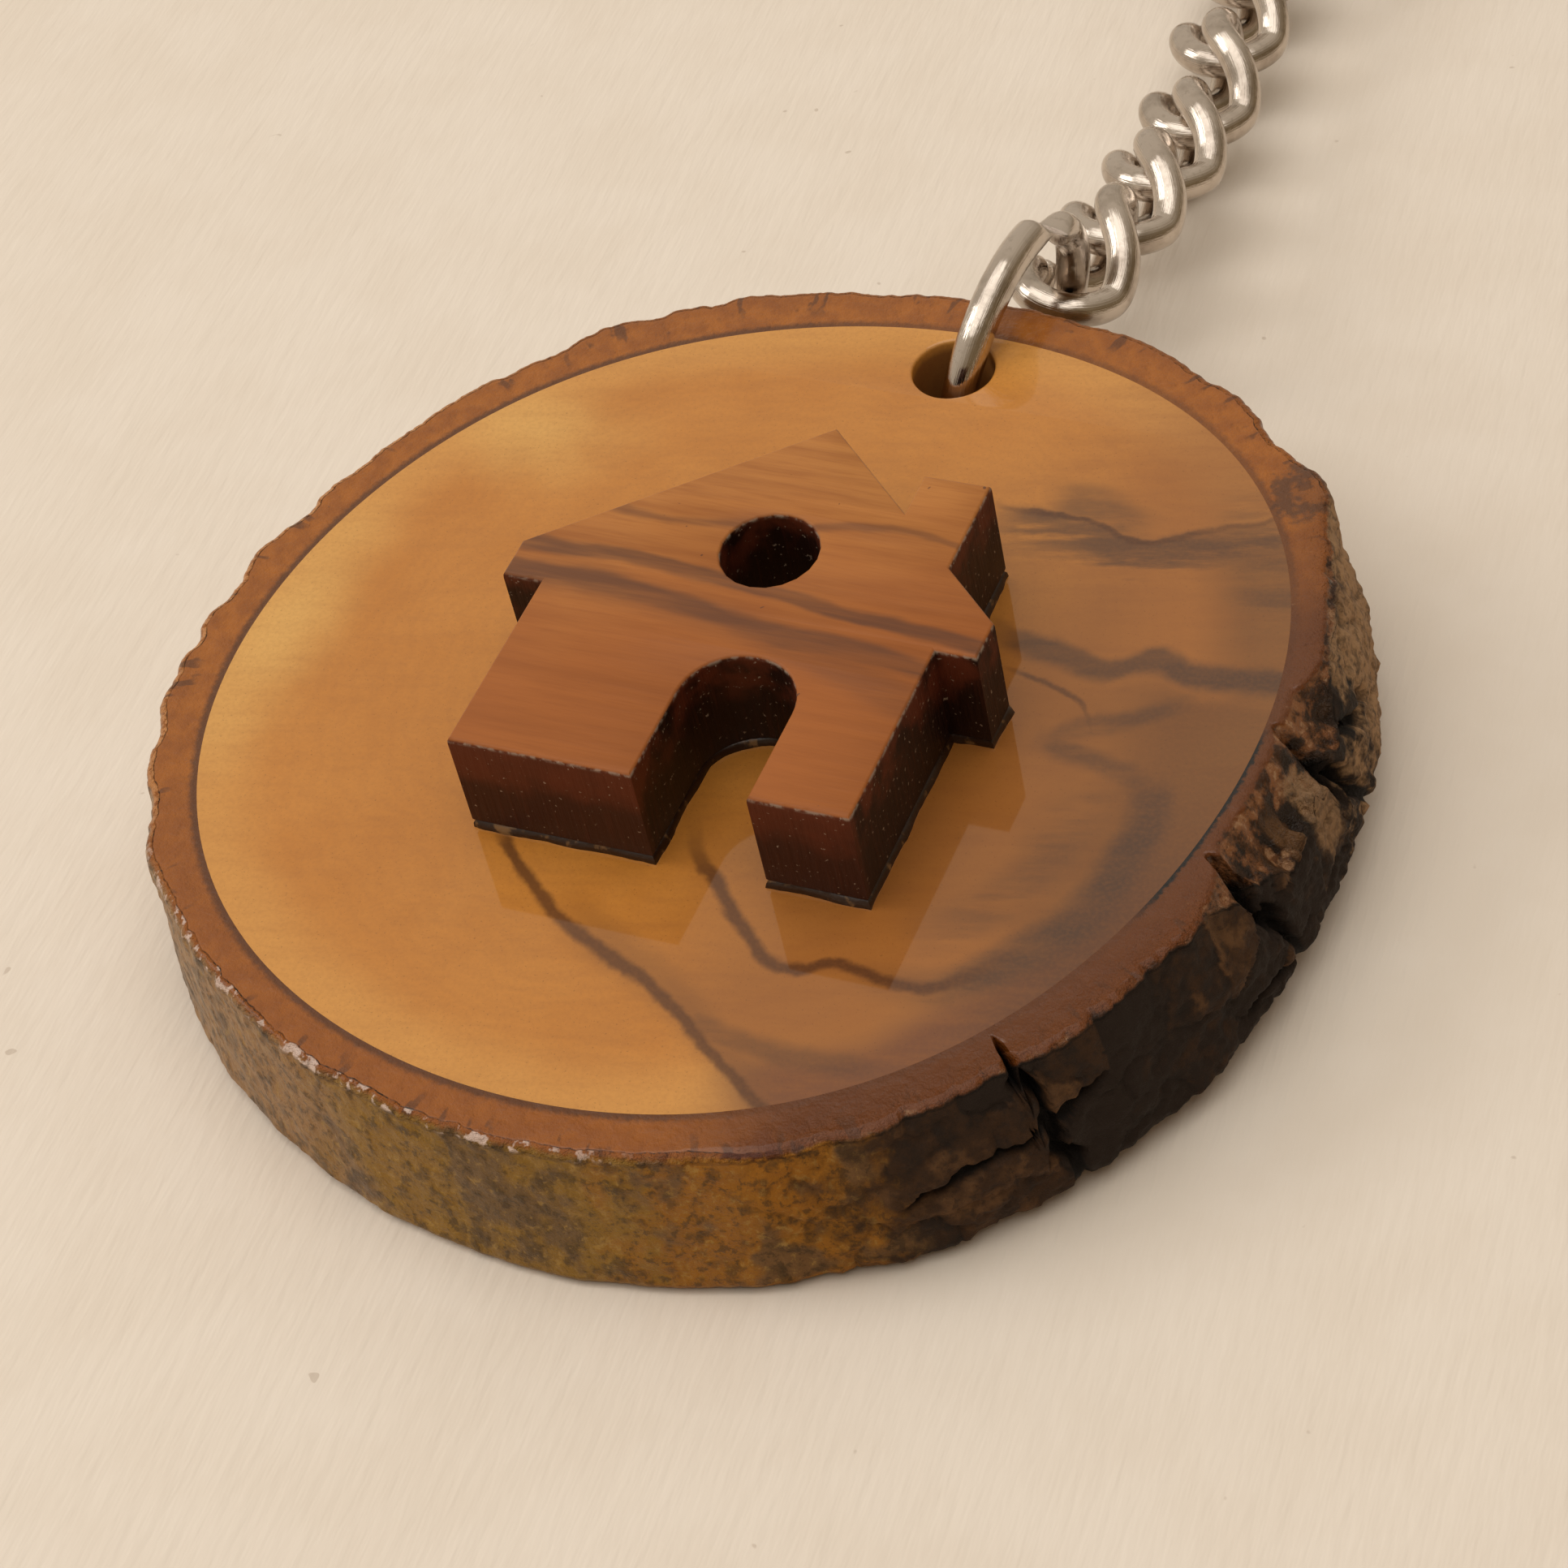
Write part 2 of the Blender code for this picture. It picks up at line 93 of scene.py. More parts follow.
HONEY = (0.565, 0.225, 0.036)
HONEY_DEEP = (0.52, 0.196, 0.027)
SAPWOOD = (0.66, 0.315, 0.072)
SAP_PALE = (0.74, 0.42, 0.115)
HEARTWOOD = (0.30, 0.105, 0.022)
HEART_DUSK = (0.075, 0.029, 0.01)
RIM_BROWN = (0.15, 0.05, 0.022)
STREAK_GREY = (0.08, 0.036, 0.018)
STREAK_DARK = (0.085, 0.028, 0.008)

# The figure's lines wander: scale, detail and roughness of the noise, and reach in millimetres.
FIGURE_WANDER = (
    (0.22, 3.0, 0.5, (1.1, 1.1, 0.5)),
    (1.2, 4.0, 0.6, (0.45, 0.45, 0.2)),
)
# Places along the dark lines, in millimetres from the slice's centre.
FIGURE_SPAN = 25
UPPER_STREAK = (
    (-25, 12), (4, 13), (8.7, 12.1), (11.8, 12.1), (14.3, 11.3),
    (15.6, 11.7), (17.4, 12.7), (19.6, 13.9), (25, 19),
)
MIDDLE_STREAK = (
    (-25, 5), (9, 5.6), (12.3, 4.7), (13.8, 4.4), (15.5, 4.2), (17.4, 5.3), (19.1, 4.8), (22.3, 5), (25, 5),
)
LOWER_STREAK = (
    (-25, 2), (-8, -8.5), (-4.9, -11.2), (-1.3, -14.0), (2.8, -16.0), (6.6, -18.3), (10, -20.7), (25, -25),
)
HOOK_STREAK = ((-25, 3.4), (10, 3.5), (12.5, 2.8), (15.4, 1.7), (17, -1), (25, -9))
# A line that curls round a centre: bearing and distance from it.
LOOP_CENTRE = (11.5, -5.0)
LOOP_REACH = 10
LOOP_STREAK = (
    (-pi, 9.9), (-2.6, 9.6), (-2.46, 9.25), (-2.2, 9.4), (-2.0, 9.7), (-1.85, 9.5), (-1.68, 8.6),
    (-1.37, 8.9), (-1.2, 9.0), (-1.0, 8.6), (-0.72, 8.3), (-0.43, 8.2), (-0.1, 8.1), (0.31, 8.4),
    (1.05, 8.4), (2, 8.4), (pi, 9.9),
)
# Faint lines: places along each, where it fades in and out, its strength, and what its patches add to that.
FAINT_LINES = (
    (
        ((-25, -1), (14.4, -0.4), (15.0, 0.1), (16.3, 0.9), (17.6, 1.7), (19.3, 2.8), (25, 6)),
        (13.6, 15, 18.6, 20), 0.25, 0.4,
    ),
    (
        ((-25, 0), (14.4, -0.4), (15.3, -0.7), (17.0, -1.0), (18.3, -1.3), (19.6, -1.8), (25, -5)),
        (13.6, 15, 18.6, 20), 0.25, 0.4,
    ),
    (
        ((-25, -18), (5.6, -17.5), (8.6, -18.2), (11.4, -18.3), (13.4, -18.2), (25, -18)),
        (5.2, 6.5, 12, 15), 0.3, 0.25,
    ),
)
FIBRE_TURN = radians(13)
FIBRE_STRETCH = (3.6, 0.7, 1.0)
# Pale patches in the sapwood: place and half their sizes, in millimetres.
SAP_PATCHES = ((-20.4, -1.4, 2.4, 6.4), (-14.4, 12.0, 3.6, 2.6))
RIPPLE_DEPTH = 0.08 * MM
FIBRE_DEPTH = 0.006 * MM


def swelling(mean, swells, bearing):
    return mean + sum(size * cos(lobes * (bearing - radians(lobe))) for lobes, size, lobe in swells)


def wood_radius(bearing):
    return swelling(WOOD_RADIUS, WOOD_SWELLS, bearing)


def rim_radius(bearing):
    return swelling(RIM_RADIUS, RIM_SWELLS, bearing)


def around(bearing, radius, height):
    return Vector((radius * cos(bearing), radius * sin(bearing), height))


def bearings(steps):
    return [2 * pi * i / steps - pi for i in range(steps)]


def band(low, high, count):
    """Faces between two closed rows of points, given the numbers of their first points."""
    return [(low + i, low + (i + 1) % count, high + (i + 1) % count, high + i) for i in range(count)]


def cap(rows, firsts):
    """Faces that close a flat outline with holes in it, given the numbers of the rows' first points."""
    numbers = [first + i for row, first in zip(rows, firsts) for i in range(len(row))]
    return [tuple(numbers[i] for i in corners) for corners in tessellate_polygon(rows)]


def add_object(name, data):
    made = bpy.data.objects.new(name, data)
    bpy.context.scene.collection.objects.link(made)
    return made


def add_piece(name, mesh, material, sharp_angle=38):
    mesh.shade_smooth()
    mesh.set_sharp_from_angle(angle=radians(sharp_angle))
    mesh.materials.clear()
    mesh.materials.append(material)
    return add_object(name, mesh)


def turn_outward(mesh, joined_within=None):
    """Turns a mesh's faces outward, after joining points that lie close together."""
    shell = bmesh.new()
    shell.from_mesh(mesh)
    if joined_within:
        bmesh.ops.remove_doubles(shell, verts=shell.verts, dist=joined_within)
    bmesh.ops.recalc_face_normals(shell, faces=shell.faces)
    shell.to_mesh(mesh)
    shell.free()


def closed_mesh(name, points, faces, place):
    """A mesh of outward faces, moved to its place."""
    mesh = bpy.data.meshes.new(name)
    mesh.from_pydata(points, [], faces)
    turn_outward(mesh)
    mesh.transform(place)
    return mesh


class Tone:
    """A socket in a node tree. Sums and products of tones add their Math nodes, and a | b is the larger."""

    def __init__(self, tree, socket=None):
        self.tree = tree
        self.socket = socket

    def node(self, kind, settings={}, sockets={}, out=0):
        made = self.tree.nodes.new(kind)
        for name, value in settings.items():
            if name == "bends":
                curve = made.mapping.curves[0]
                curve.points[0].location, curve.points[1].location = value[0], value[-1]
                for place in value[1:-1]:
                    curve.points.new(*place)
                made.mapping.update()
            else:
                setattr(made, name, value)
        for name, value in sockets.items():
            if isinstance(value, Tone):
                self.tree.links.new(value.socket, made.inputs[name])
            else:
                made.inputs[name].default_value = value
        return Tone(self.tree, made.outputs[out])

    def math(self, operation, first, second=0.0):
        return self.node("ShaderNodeMath", {"operation": operation}, {0: first, 1: second})

    def __add__(self, other):
        return self.math("ADD", self, other)

    __radd__ = __add__

    def __sub__(self, other):
        return self.math("SUBTRACT", self, other)

    def __rsub__(self, other):
        return self.math("SUBTRACT", other, self)

    def __mul__(self, other):
        return self.math("MULTIPLY", self, other)

    __rmul__ = __mul__

    def __truediv__(self, other):
        return self.math("DIVIDE", self, other)

    def __or__(self, other):
        return self.math("MAXIMUM", self, other)

    def __abs__(self):
        return self.math("ABSOLUTE", self)


def new_finish(name, constants):
    """A material with its constant values set, its shader and a first tone to build on."""
    material = bpy.data.materials.new(name)
    material.use_nodes = True
    shader = material.node_tree.nodes["Principled BSDF"]
    for socket, value in constants.items():
        shader.inputs[socket].default_value = value
    return material, shader, Tone(material.node_tree)


def feed(shader, **tones):
    for socket, tone in tones.items():
        tone.tree.links.new(tone.socket, shader.inputs[socket.replace("_", " ")])


def in_millimetres(start, turn=(0, 0, 0)):
    """Object coordinates in millimetres, turned back to a piece's own axes."""
    here = start.node("ShaderNodeTexCoord", out="Object")
    return start.node("ShaderNodeMapping", {}, {"Vector": here, "Rotation": turn, "Scale": (1 / MM,) * 3})


def axes(place):
    return [place.node("ShaderNodeSeparateXYZ", {}, {0: place}, out=axis) for axis in "XYZ"]


def grain(place, scale, detail=3.0, roughness=0.55, out="Fac"):
    sockets = {"Vector": place, "Scale": scale, "Detail": detail, "Roughness": roughness}
    return place.node("ShaderNodeTexNoise", {}, sockets, out)


def vector_math(operation, *values):
    return values[0].node("ShaderNodeVectorMath", {"operation": operation}, dict(enumerate(values)))


def stretched(place, scale):
    return vector_math("MULTIPLY", place, scale)


def ease(tone, low, high):
    """0 below low, 1 above high, smooth between. Where low is the larger, it falls from 1 to 0 instead."""
    settings = {"interpolation_type": "SMOOTHSTEP"}
    return tone.node("ShaderNodeMapRange", settings, {"Value": tone, "From Min": low, "From Max": high})


def between(tone, low, rise, fall, high):
    """1 from rise to fall, fading to 0 at low and at high."""
    return ease(tone, low, rise) * ease(tone, high, fall)


def distance(across, up):
    return across.math("SQRT", across * across + up * up)


def coats(under, *laid):
    """Colours laid over another in turn, each by its share from 0 to 1."""
    for share, over in laid:
        sockets = {0: share}
        for number, colour in ((6, under), (7, over)):
            sockets[number] = (*colour, 1) if isinstance(colour, tuple) else colour
        under = share.node("ShaderNodeMix", {"data_type": "RGBA"}, sockets, out=2)
    return under


def relief(height, depth, under=None):
    """A bumped normal, in metres of depth, over another bumped normal."""
    sockets = {"Height": height, "Distance": depth}
    if under:
        sockets["Normal"] = under
    return height.node("ShaderNodeBump", {}, sockets)


def along_line(tone, places, span=FIGURE_SPAN, reach=FIGURE_SPAN):
    """The height of a smooth line through places, as tone runs from -span to span. It stays within reach."""
    bends = [(x / span / 2 + 0.5, y / reach / 2 + 0.5) for x, y in places]
    line = tone.node("ShaderNodeFloatCurve", {"bends": bends}, {"Value": tone / (2 * span) + 0.5})
    return line * (2 * reach) - reach


def line_share(offset, width, soft):
    """1 on a line, fading to 0 from its width to its soft edge."""
    return ease(abs(offset), width + soft, width)


hinges = {joint["name"]: joint for joint in frame["joints"]}
slice_up = Vector(hinges["ring_swings_in_hole"]["axis"])
slice_tilt = atan2(-slice_up.y, slice_up.z)
lean = Matrix.Rotation(slice_tilt, 4, "X")
hole_place = around(HOLE_BEARING, rim_radius(HOLE_BEARING) - HOLE_EDGE, 0.0)


def make_wood_mesh():
    rows = []
    for height in (0.0, SLICE_THICKNESS):
        rows.append([around(b, wood_radius(b) + WOOD_TO_BARK, height) for b in bearings(WOOD_STEPS)])
    upper = [(wear * MM, SLICE_THICKNESS - depth * MM) for wear, depth in HOLE_WEAR]
    lower = [(wear * MM, depth * MM) for wear, depth in reversed(HOLE_WEAR[:-1])]
    for wear, height in upper + lower:
        row = []
        for b in bearings(HOLE_STEPS):
            ragged = HOLE_ROUGHNESS * noise.noise(around(b, 3.0, height / MM))
            row.append(hole_place + around(b, HOLE_RADIUS + wear + ragged, height))
        rows.append(row)
    firsts = [sum(len(row) for row in rows[:i]) for i in range(len(rows))]
    faces = band(firsts[0], firsts[1], WOOD_STEPS)
    for low, high in zip(firsts[2:], firsts[3:]):
        faces += band(low, high, HOLE_STEPS)
    faces += cap([rows[1], rows[2]], [firsts[1], firsts[2]])
    faces += cap([rows[0], rows[-1]], [firsts[0], firsts[-1]])
    return closed_mesh("wood_disc", [point for row in rows for point in row], faces, lean)


def make_wood_finish():
    material, shader, start = new_finish(
        "lacquered olive wood",
        {"Roughness": 0.5, "Specular IOR Level": 0.12, "Coat Weight": 1.0, "Coat Roughness": 0.045},
    )
    place = in_millimetres(start, (-slice_tilt, 0, 0))
    bent = place
    for scale, detail, roughness, reach in FIGURE_WANDER:
        wander = grain(place, scale, detail, roughness, "Color")
        bent = vector_math("MULTIPLY_ADD", vector_math("SUBTRACT", wander, (0.5, 0.5, 0.5)), reach, bent)
    x, y, z = axes(bent)
    plain_x, plain_y, _ = axes(place)
    bearing = start.math("ARCTAN2", plain_y, plain_x)
    out = distance(plain_x, plain_y)
    edge = WOOD_RADIUS / MM - out
    for lobes, size, lobe in WOOD_SWELLS:
        edge = edge + start.math("COSINE", (bearing - radians(lobe)) * lobes) * (size / MM)

    drawn_out = {"Vector": place, "Rotation": (0, 0, FIBRE_TURN), "Scale": FIBRE_STRETCH}
    along_fibres = start.node("ShaderNodeMapping", {"vector_type": "TEXTURE"}, drawn_out)
    clouds = grain(place, 0.16, 3.0)
    drift = (clouds - 0.5) * 2
    fibres = grain(place, 5.0, 2.0)
    rings = start.math("SINE", (out + clouds * 6) * 7.5)
    colour = coats(
        HONEY,
        (ease(clouds, 0.35, 0.7), HONEY_DEEP),
        (ease(rings, -1.0, 1.6) * 0.08, HEARTWOOD),
        (ease(edge + drift, 3.4, 0.3) * 0.75, SAPWOOD),
    )
    for patch_x, patch_y, half_x, half_y in SAP_PATCHES:
        away = distance((x - patch_x) / half_x, (y - patch_y) / half_y) + drift * 0.75
        colour = coats(colour, (ease(away, 1.7, -0.2) * 0.72, SAP_PALE))

    # The heartwood lies to the right of the lower streak, and is darkest along the rim at the front right.
    low_line = y - along_line(x, LOWER_STREAK)
    to_right = x * 0.9 - y * 0.2 + (grain(place, 0.12) - 0.5) * 7
    heart_side = ease(to_right, 2, 12) * ease(low_line, -0.3, 0.5)
    rim_shade = between(bearing, -1.27, -1.05, -0.45, 0.1) * ease(edge + drift, 2.8, 0.7)
    brushed = grain(along_fibres, 1.1, 5.0, 0.6)
    middle = along_line(x, MIDDLE_STREAK) - y
    dusk = ease(middle, 0.2, 2.2) * ease(x + drift * 2, 14, 20)
    dusk |= ease(edge + drift, 4.2, 1.4) * between(bearing, -0.3, 0.0, 0.5, 0.65) * 0.8
    colour = coats(
        colour,
        (heart_side * 0.75, HEARTWOOD),
        (rim_shade * 0.85, RIM_BROWN),
        (ease(brushed, 0.42, 0.72) * (0.14 + heart_side * 0.25), HEARTWOOD),
        (dusk * 0.6, HEART_DUSK),
    )

    # Soft grey patches of the figure.
    patchy = ease(grain(along_fibres, 0.42, 6.0, 0.65), 0.34, 0.6)
    upper = along_line(x, UPPER_STREAK) - y
    upper_end = ease(x, 7, 10)
    grey = ease(upper, 1.3 + patchy * 2, 0.1 + patchy) * ease(upper, -0.5, 0.05)
    grey = grey * upper_end * (0.4 + patchy * 0.45)
    grey |= line_share(upper + 0.9, 0.4, 1.3) * between(x, 9, 11, 13, 15.5) * (0.18 + patchy * 0.45)
    grey |= between(middle, -0.7, -0.1, 0.5, 1.3) * ease(x, 9, 12) * (0.68 + patchy * 0.24)
    for places, ends, strength, more in FAINT_LINES:
        faint = line_share(y - along_line(x, places), 0.15, 0.8)
        grey |= faint * between(x, *ends) * (strength + patchy * more)
    loop_x, loop_y = x - LOOP_CENTRE[0], y - LOOP_CENTRE[1]
    loop_bearing = start.math("ARCTAN2", loop_y, loop_x)
    loop = distance(loop_x, loop_y) - along_line(loop_bearing, LOOP_STREAK, pi, LOOP_REACH)
    broad = between(loop_bearing, -1.75, -0.9, 0.25, 0.5)
    grey |= line_share(loop - 0.15, 0.3, 1.1) * broad * (0.5 + patchy * 0.42)
    grey |= line_share(loop + 2.8, 0.3, 1.6) * broad * patchy * 0.45
    grey |= line_share(low_line - 0.4, 0.3, 1.4) * between(x, -3, 1, 8, 12) * 0.3
    grey |= ease(edge, 3.2, 0.6) * between(bearing, 0.28, 0.42, 0.6, 0.8) * patchy * 0.6

    # Sharp dark lines of the figure.
    sharp = line_share(upper, 0.05, 0.22) * upper_end * (0.4 + patchy * 0.4)
    sharp |= line_share(low_line, 0.12, 0.4) * between(x, -6.5, -5, 11, 14) * 0.82
    sharp |= line_share(loop, 0.1, 0.36) * between(loop_bearing, -2.9, -2.5, -1.3, -0.75) * 0.85
    hook = y - along_line(x, HOOK_STREAK)
    sharp |= line_share(hook, 0.03, 0.22) * between(x, 11, 12.5, 15, 16.5) * 0.7
    pores = ease(grain(place, 9.0, 1.0), 0.66, 0.74)
    in_hole = ease(SLICE_THICKNESS / MM - z, 0.15, 0.6)
    colour = coats(
        colour,
        (grey, STREAK_GREY),
        (sharp, STREAK_DARK),
        (pores * 0.3, STREAK_DARK),
        (ease(fibres, 0.35, 0.75) * 0.16, HEARTWOOD),
        (in_hole * 0.6, RIM_BROWN),
    )
    ripples = relief(grain(place, 0.3, 2.0), RIPPLE_DEPTH)
    feed(shader, Base_Color=colour, Normal=relief(fibres, FIBRE_DEPTH, ripples))
    return material


wood_disc = add_piece("wood_disc", make_wood_mesh(), make_wood_finish())
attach(wood_disc, "slice")
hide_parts("wood_slice")


# The bark, grown on round the wood and sawn through with it: knobbly and mossy at the front left, thick and
# cracked into plates on the right, where its upper edge is broken away. The lacquer runs over its sawn edge.

BARK_STEPS = 1080
BARK_TOP_ROWS = 14
BARK_SIDE_ROWS = 40
BARK_EDGE = 0.45 * MM
BARK_FLARE = 1.1 * MM
BARK_FLARE_SWELL = 0.5 * MM
BARK_FOOT = 0.3 * MM
# Bumps and notches round the rim: bearing in degrees, size in millimetres, half the span in degrees. The
# first is a knot.
RIM_MARKS = (
    (38, 0.7, 4), (47, -0.3, 2.5), (57.5, -0.35, 2.5), (67, 0.1, 2.5), (72, -0.12, 1.5), (96, -0.15, 3),
    (110, 0.12, 2.5), (114, -0.3, 1.5), (121, -0.2, 1.5), (126, 0.25, 2.5), (133, -0.45, 2.5),
    (139, -0.35, 1.5), (163.5, 0.25, 3), (167.5, -0.3, 1.8), (175, 0.4, 4), (181, -0.3, 3),
    (185, 0.25, 1.7), (188.5, -0.25, 1.5), (196, 0.15, 2.5), (201, -0.25, 2.5), (211, -0.3, 4), (218, 0.2, 4),
)
THICK_BARK = (radians(-66), radians(36))
THICK_FADE = radians(14)
PLATE_BULGE = 0.35 * MM
# Where the sawn edge is broken away: bearing, depth, half the span.
BREAKS = (
    (radians(0), 2.2 * MM, radians(13)),
    (radians(24), 0.3 * MM, radians(5)),
)
# Cracks down the side: bearing at the sawn edge, bearing at the underside, depth.
CRACKS = (
    (radians(3.5), radians(12), 1.4 * MM),
    (radians(-13), radians(-7), 1.1 * MM),
    (radians(-41), radians(-37.5), 1.2 * MM),
)
CRACK_SPAN = radians(1.2)
DEEPEST_CRACK = 1.4 * MM
# Cracks along the side: bearing and height at one end, bearing and height at the other, depth.
LEVEL_CRACKS = (
    (radians(-54), 3.0 * MM, radians(-32), 4.3 * MM, 0.8 * MM),
    (radians(-18), 1.4 * MM, radians(-8), 1.1 * MM, 0.6 * MM),
    (radians(10), 4.9 * MM, radians(21), 2.5 * MM, 0.8 * MM),
)
LEVEL_CRACK_REACH = 0.4 * MM
CRACK_SWAY = 0.5 * MM
# The thick bark's chunks: width in millimetres, and the seed of their wander.
CHUNK = 3.4
CHUNK_SEED = 1
EDGE_CHIPS = 0.12 * MM
WIDEST_BREAK = 1.8 * MM
TORN_DEPTH = 0.8 * MM
TORN_RELIEF = 0.8 * MM
EDGE_TURNS = (0.4, 0.8, 1.2)
UNDERSIDE_ROWS = (1.0, 0.75, 0.5, 0.25, 0.0)
# Single marks on the broken side: bearing, height and half their sizes, in millimetres across and up.
CHUNK_SPOT = (radians(2.4), 4.1, 1.2, 2.1)
PIT_SPOT = (radians(14), 4.5, 1.9, 1.1)
KNOT_PLACE = (20.3, 15.8)
KNOT_RADIUS = 1.2
BARK_GRAIN_DEPTH = 0.2 * MM
TUFT_DEPTH = 0.3 * MM
BARK_MARKS = ("across", "thick", "skin", "crack", "plate", "torn")

BARK_CUT = (0.37, 0.114, 0.008)
BARK_CUT_DARK = (0.22, 0.058, 0.004)
BARK_CUT_RIGHT = (0.1, 0.025, 0.003)
# Painted highlight on the knobs of the sawn edge at the left.
BARK_EDGE_HIGHLIGHT = (0.64, 0.29, 0.1)
CAMBIUM = (0.085, 0.026, 0.006)
KNOT_BROWN = (0.09, 0.032, 0.01)
# Painted highlight: white glints along the sawn edge at the front left.
PAINTED_EDGE_GLINT = (0.70, 0.53, 0.45)
LACQUER_RED = (0.075, 0.014, 0.005)
TORN_DARK = (0.04, 0.014, 0.004)
FRESH_BREAK = (0.21, 0.083, 0.03)
FRESH_PALE = (0.33, 0.18, 0.09)
MOSS_GREY = (0.3, 0.16, 0.062)
MOSS_OLIVE = (0.255, 0.134, 0.02)
MOSS_OCHRE = (0.31, 0.117, 0.01)
MOSS_DARK = (0.058, 0.033, 0.012)
MOSS_SLATE = (0.135, 0.078, 0.038)
MOSS_PALE = (0.4, 0.235, 0.06)
ROUGH_DARK = (0.019, 0.011, 0.007)
ROUGH_BROWN = (0.044, 0.02, 0.008)
ROUGH_TAN = (0.12, 0.057, 0.022)
LICHEN = (0.34, 0.2, 0.1)
PALE_CHUNK = (0.26, 0.15, 0.075)
# Painted shade: near black for the depths of cracks, gaps and pits.
CRACK_SHADE_BLACK = (0.006, 0.004, 0.003)


def smooth_step(low, high, value):
    share = min(max((value - low) / (high - low), 0.0), 1.0)
    return share * share * (3 - 2 * share)


def rim_marked(bearing):
    """How far bumps stand out of the rim, or notches cut into it."""
    out = 0.0
    for place, size, span in RIM_MARKS:
        turned = (bearing - radians(place) + pi) % (2 * pi) - pi
        out += size * MM * exp(-((turned / radians(span)) ** 2))
    return out


def thickness_share(bearing):
    """1 where the bark is thick and cracked, 0 where it is smooth."""
    bearing += 0.08 * noise.noise(around(bearing, 3.0, 0.0))
    start, end = ((bearing - THICK_BARK[0]) / THICK_FADE, (THICK_BARK[1] - bearing) / THICK_FADE)
    return smooth_step(-0.5, 0.5, start) * smooth_step(-0.5, 0.5, end)


def broken(bearing):
    """How far the sawn edge is broken away."""
    ragged = 1 + 0.4 * noise.noise(around(bearing, 14.0, 2.0))
    ragged += 0.25 * noise.noise(around(bearing, 40.0, 5.0))
    return ragged * sum(depth * exp(-(((bearing - place) / span) ** 4)) for place, depth, span in BREAKS)


def cracked(bearing, height):
    """How open the crack at a place is, from 0 to 1, how deep it is, and a number for the plate beside it."""
    place = around(bearing, RIM_RADIUS, height) / MM
    bearing += radians(1.4) * noise.noise(place * 0.7) + radians(0.5) * noise.noise(place * 2.3)
    height += CRACK_SWAY * noise.noise(place * 0.8 + Vector((7.0, 3.0, 1.0)))
    share = height / SLICE_THICKNESS
    uneven = 1 + 0.5 * noise.noise(place * 0.6 + Vector((0.0, 5.0, 2.0)))
    gaps = [(0.0, 0.0)]
    plate = 0
    for top, bottom, depth in CRACKS:
        span = CRACK_SPAN * uneven * (0.2 + (depth / DEEPEST_CRACK) ** 2)
        offset = (bearing - bottom - (top - bottom) * share) / span
        plate += offset > 0
        gap = 1 - smooth_step(0.1, 1.0, abs(offset))
        gaps.append((gap, gap * depth * (0.25 + 0.75 * smooth_step(0.05, 0.4, share))))
    for start, start_height, end, end_height, depth in LEVEL_CRACKS:
        along = (bearing - start) / (end - start)
        offset = (height - start_height - (end_height - start_height) * along) / LEVEL_CRACK_REACH
        within = smooth_step(0.0, 0.15, along) * (1 - smooth_step(0.85, 1.0, along))
        plate += (within > 0 and offset > 0) * len(CRACKS)
        gap = within * (1 - smooth_step(0.1, 1.0, abs(offset)))
        gaps.append((gap, gap * depth))
    return max(gap for gap, _ in gaps), max(depth for _, depth in gaps), plate


def bark_outside(bearing, height, thick):
    """The radius of the bark's outside, how open the crack there is, and the tone of the plate there."""
    share = height / SLICE_THICKNESS
    place = around(bearing, RIM_RADIUS, height) / MM
    gap, depth, plate = cracked(bearing, height)
    apart, centres = noise.voronoi((place + 0.8 * noise.noise_vector(place * 0.7)) / CHUNK)
    chink = 1 - smooth_step(0.0, 0.12, apart[1] - apart[0])
    tone = 0.5 + 0.35 * noise.noise(Vector((plate * 1.37, 0.4, 0.7))) + 0.45 * noise.noise(centres[0] * 3.1)
    lumps = noise.noise(place * 0.42)
    fine = noise.fractal(place * 1.5, 0.9, 2.1, 4)
    out = rim_radius(bearing) + (BARK_FLARE + BARK_FLARE_SWELL * cos(bearing)) * (1 - share)
    out += rim_marked(bearing) * share**3
    rough = (0.3 * lumps + 0.3 * (tone - 0.5) + 0.15 * fine - 0.12 * chink) * MM
    rough += PLATE_BULGE * sin(pi * share) - depth
    smooth = (0.13 * lumps + (0.05 + 0.1 * share**6) * fine) * MM
    return out + thick * rough + (1 - thick) * smooth, max(gap, 0.35 * chink), tone


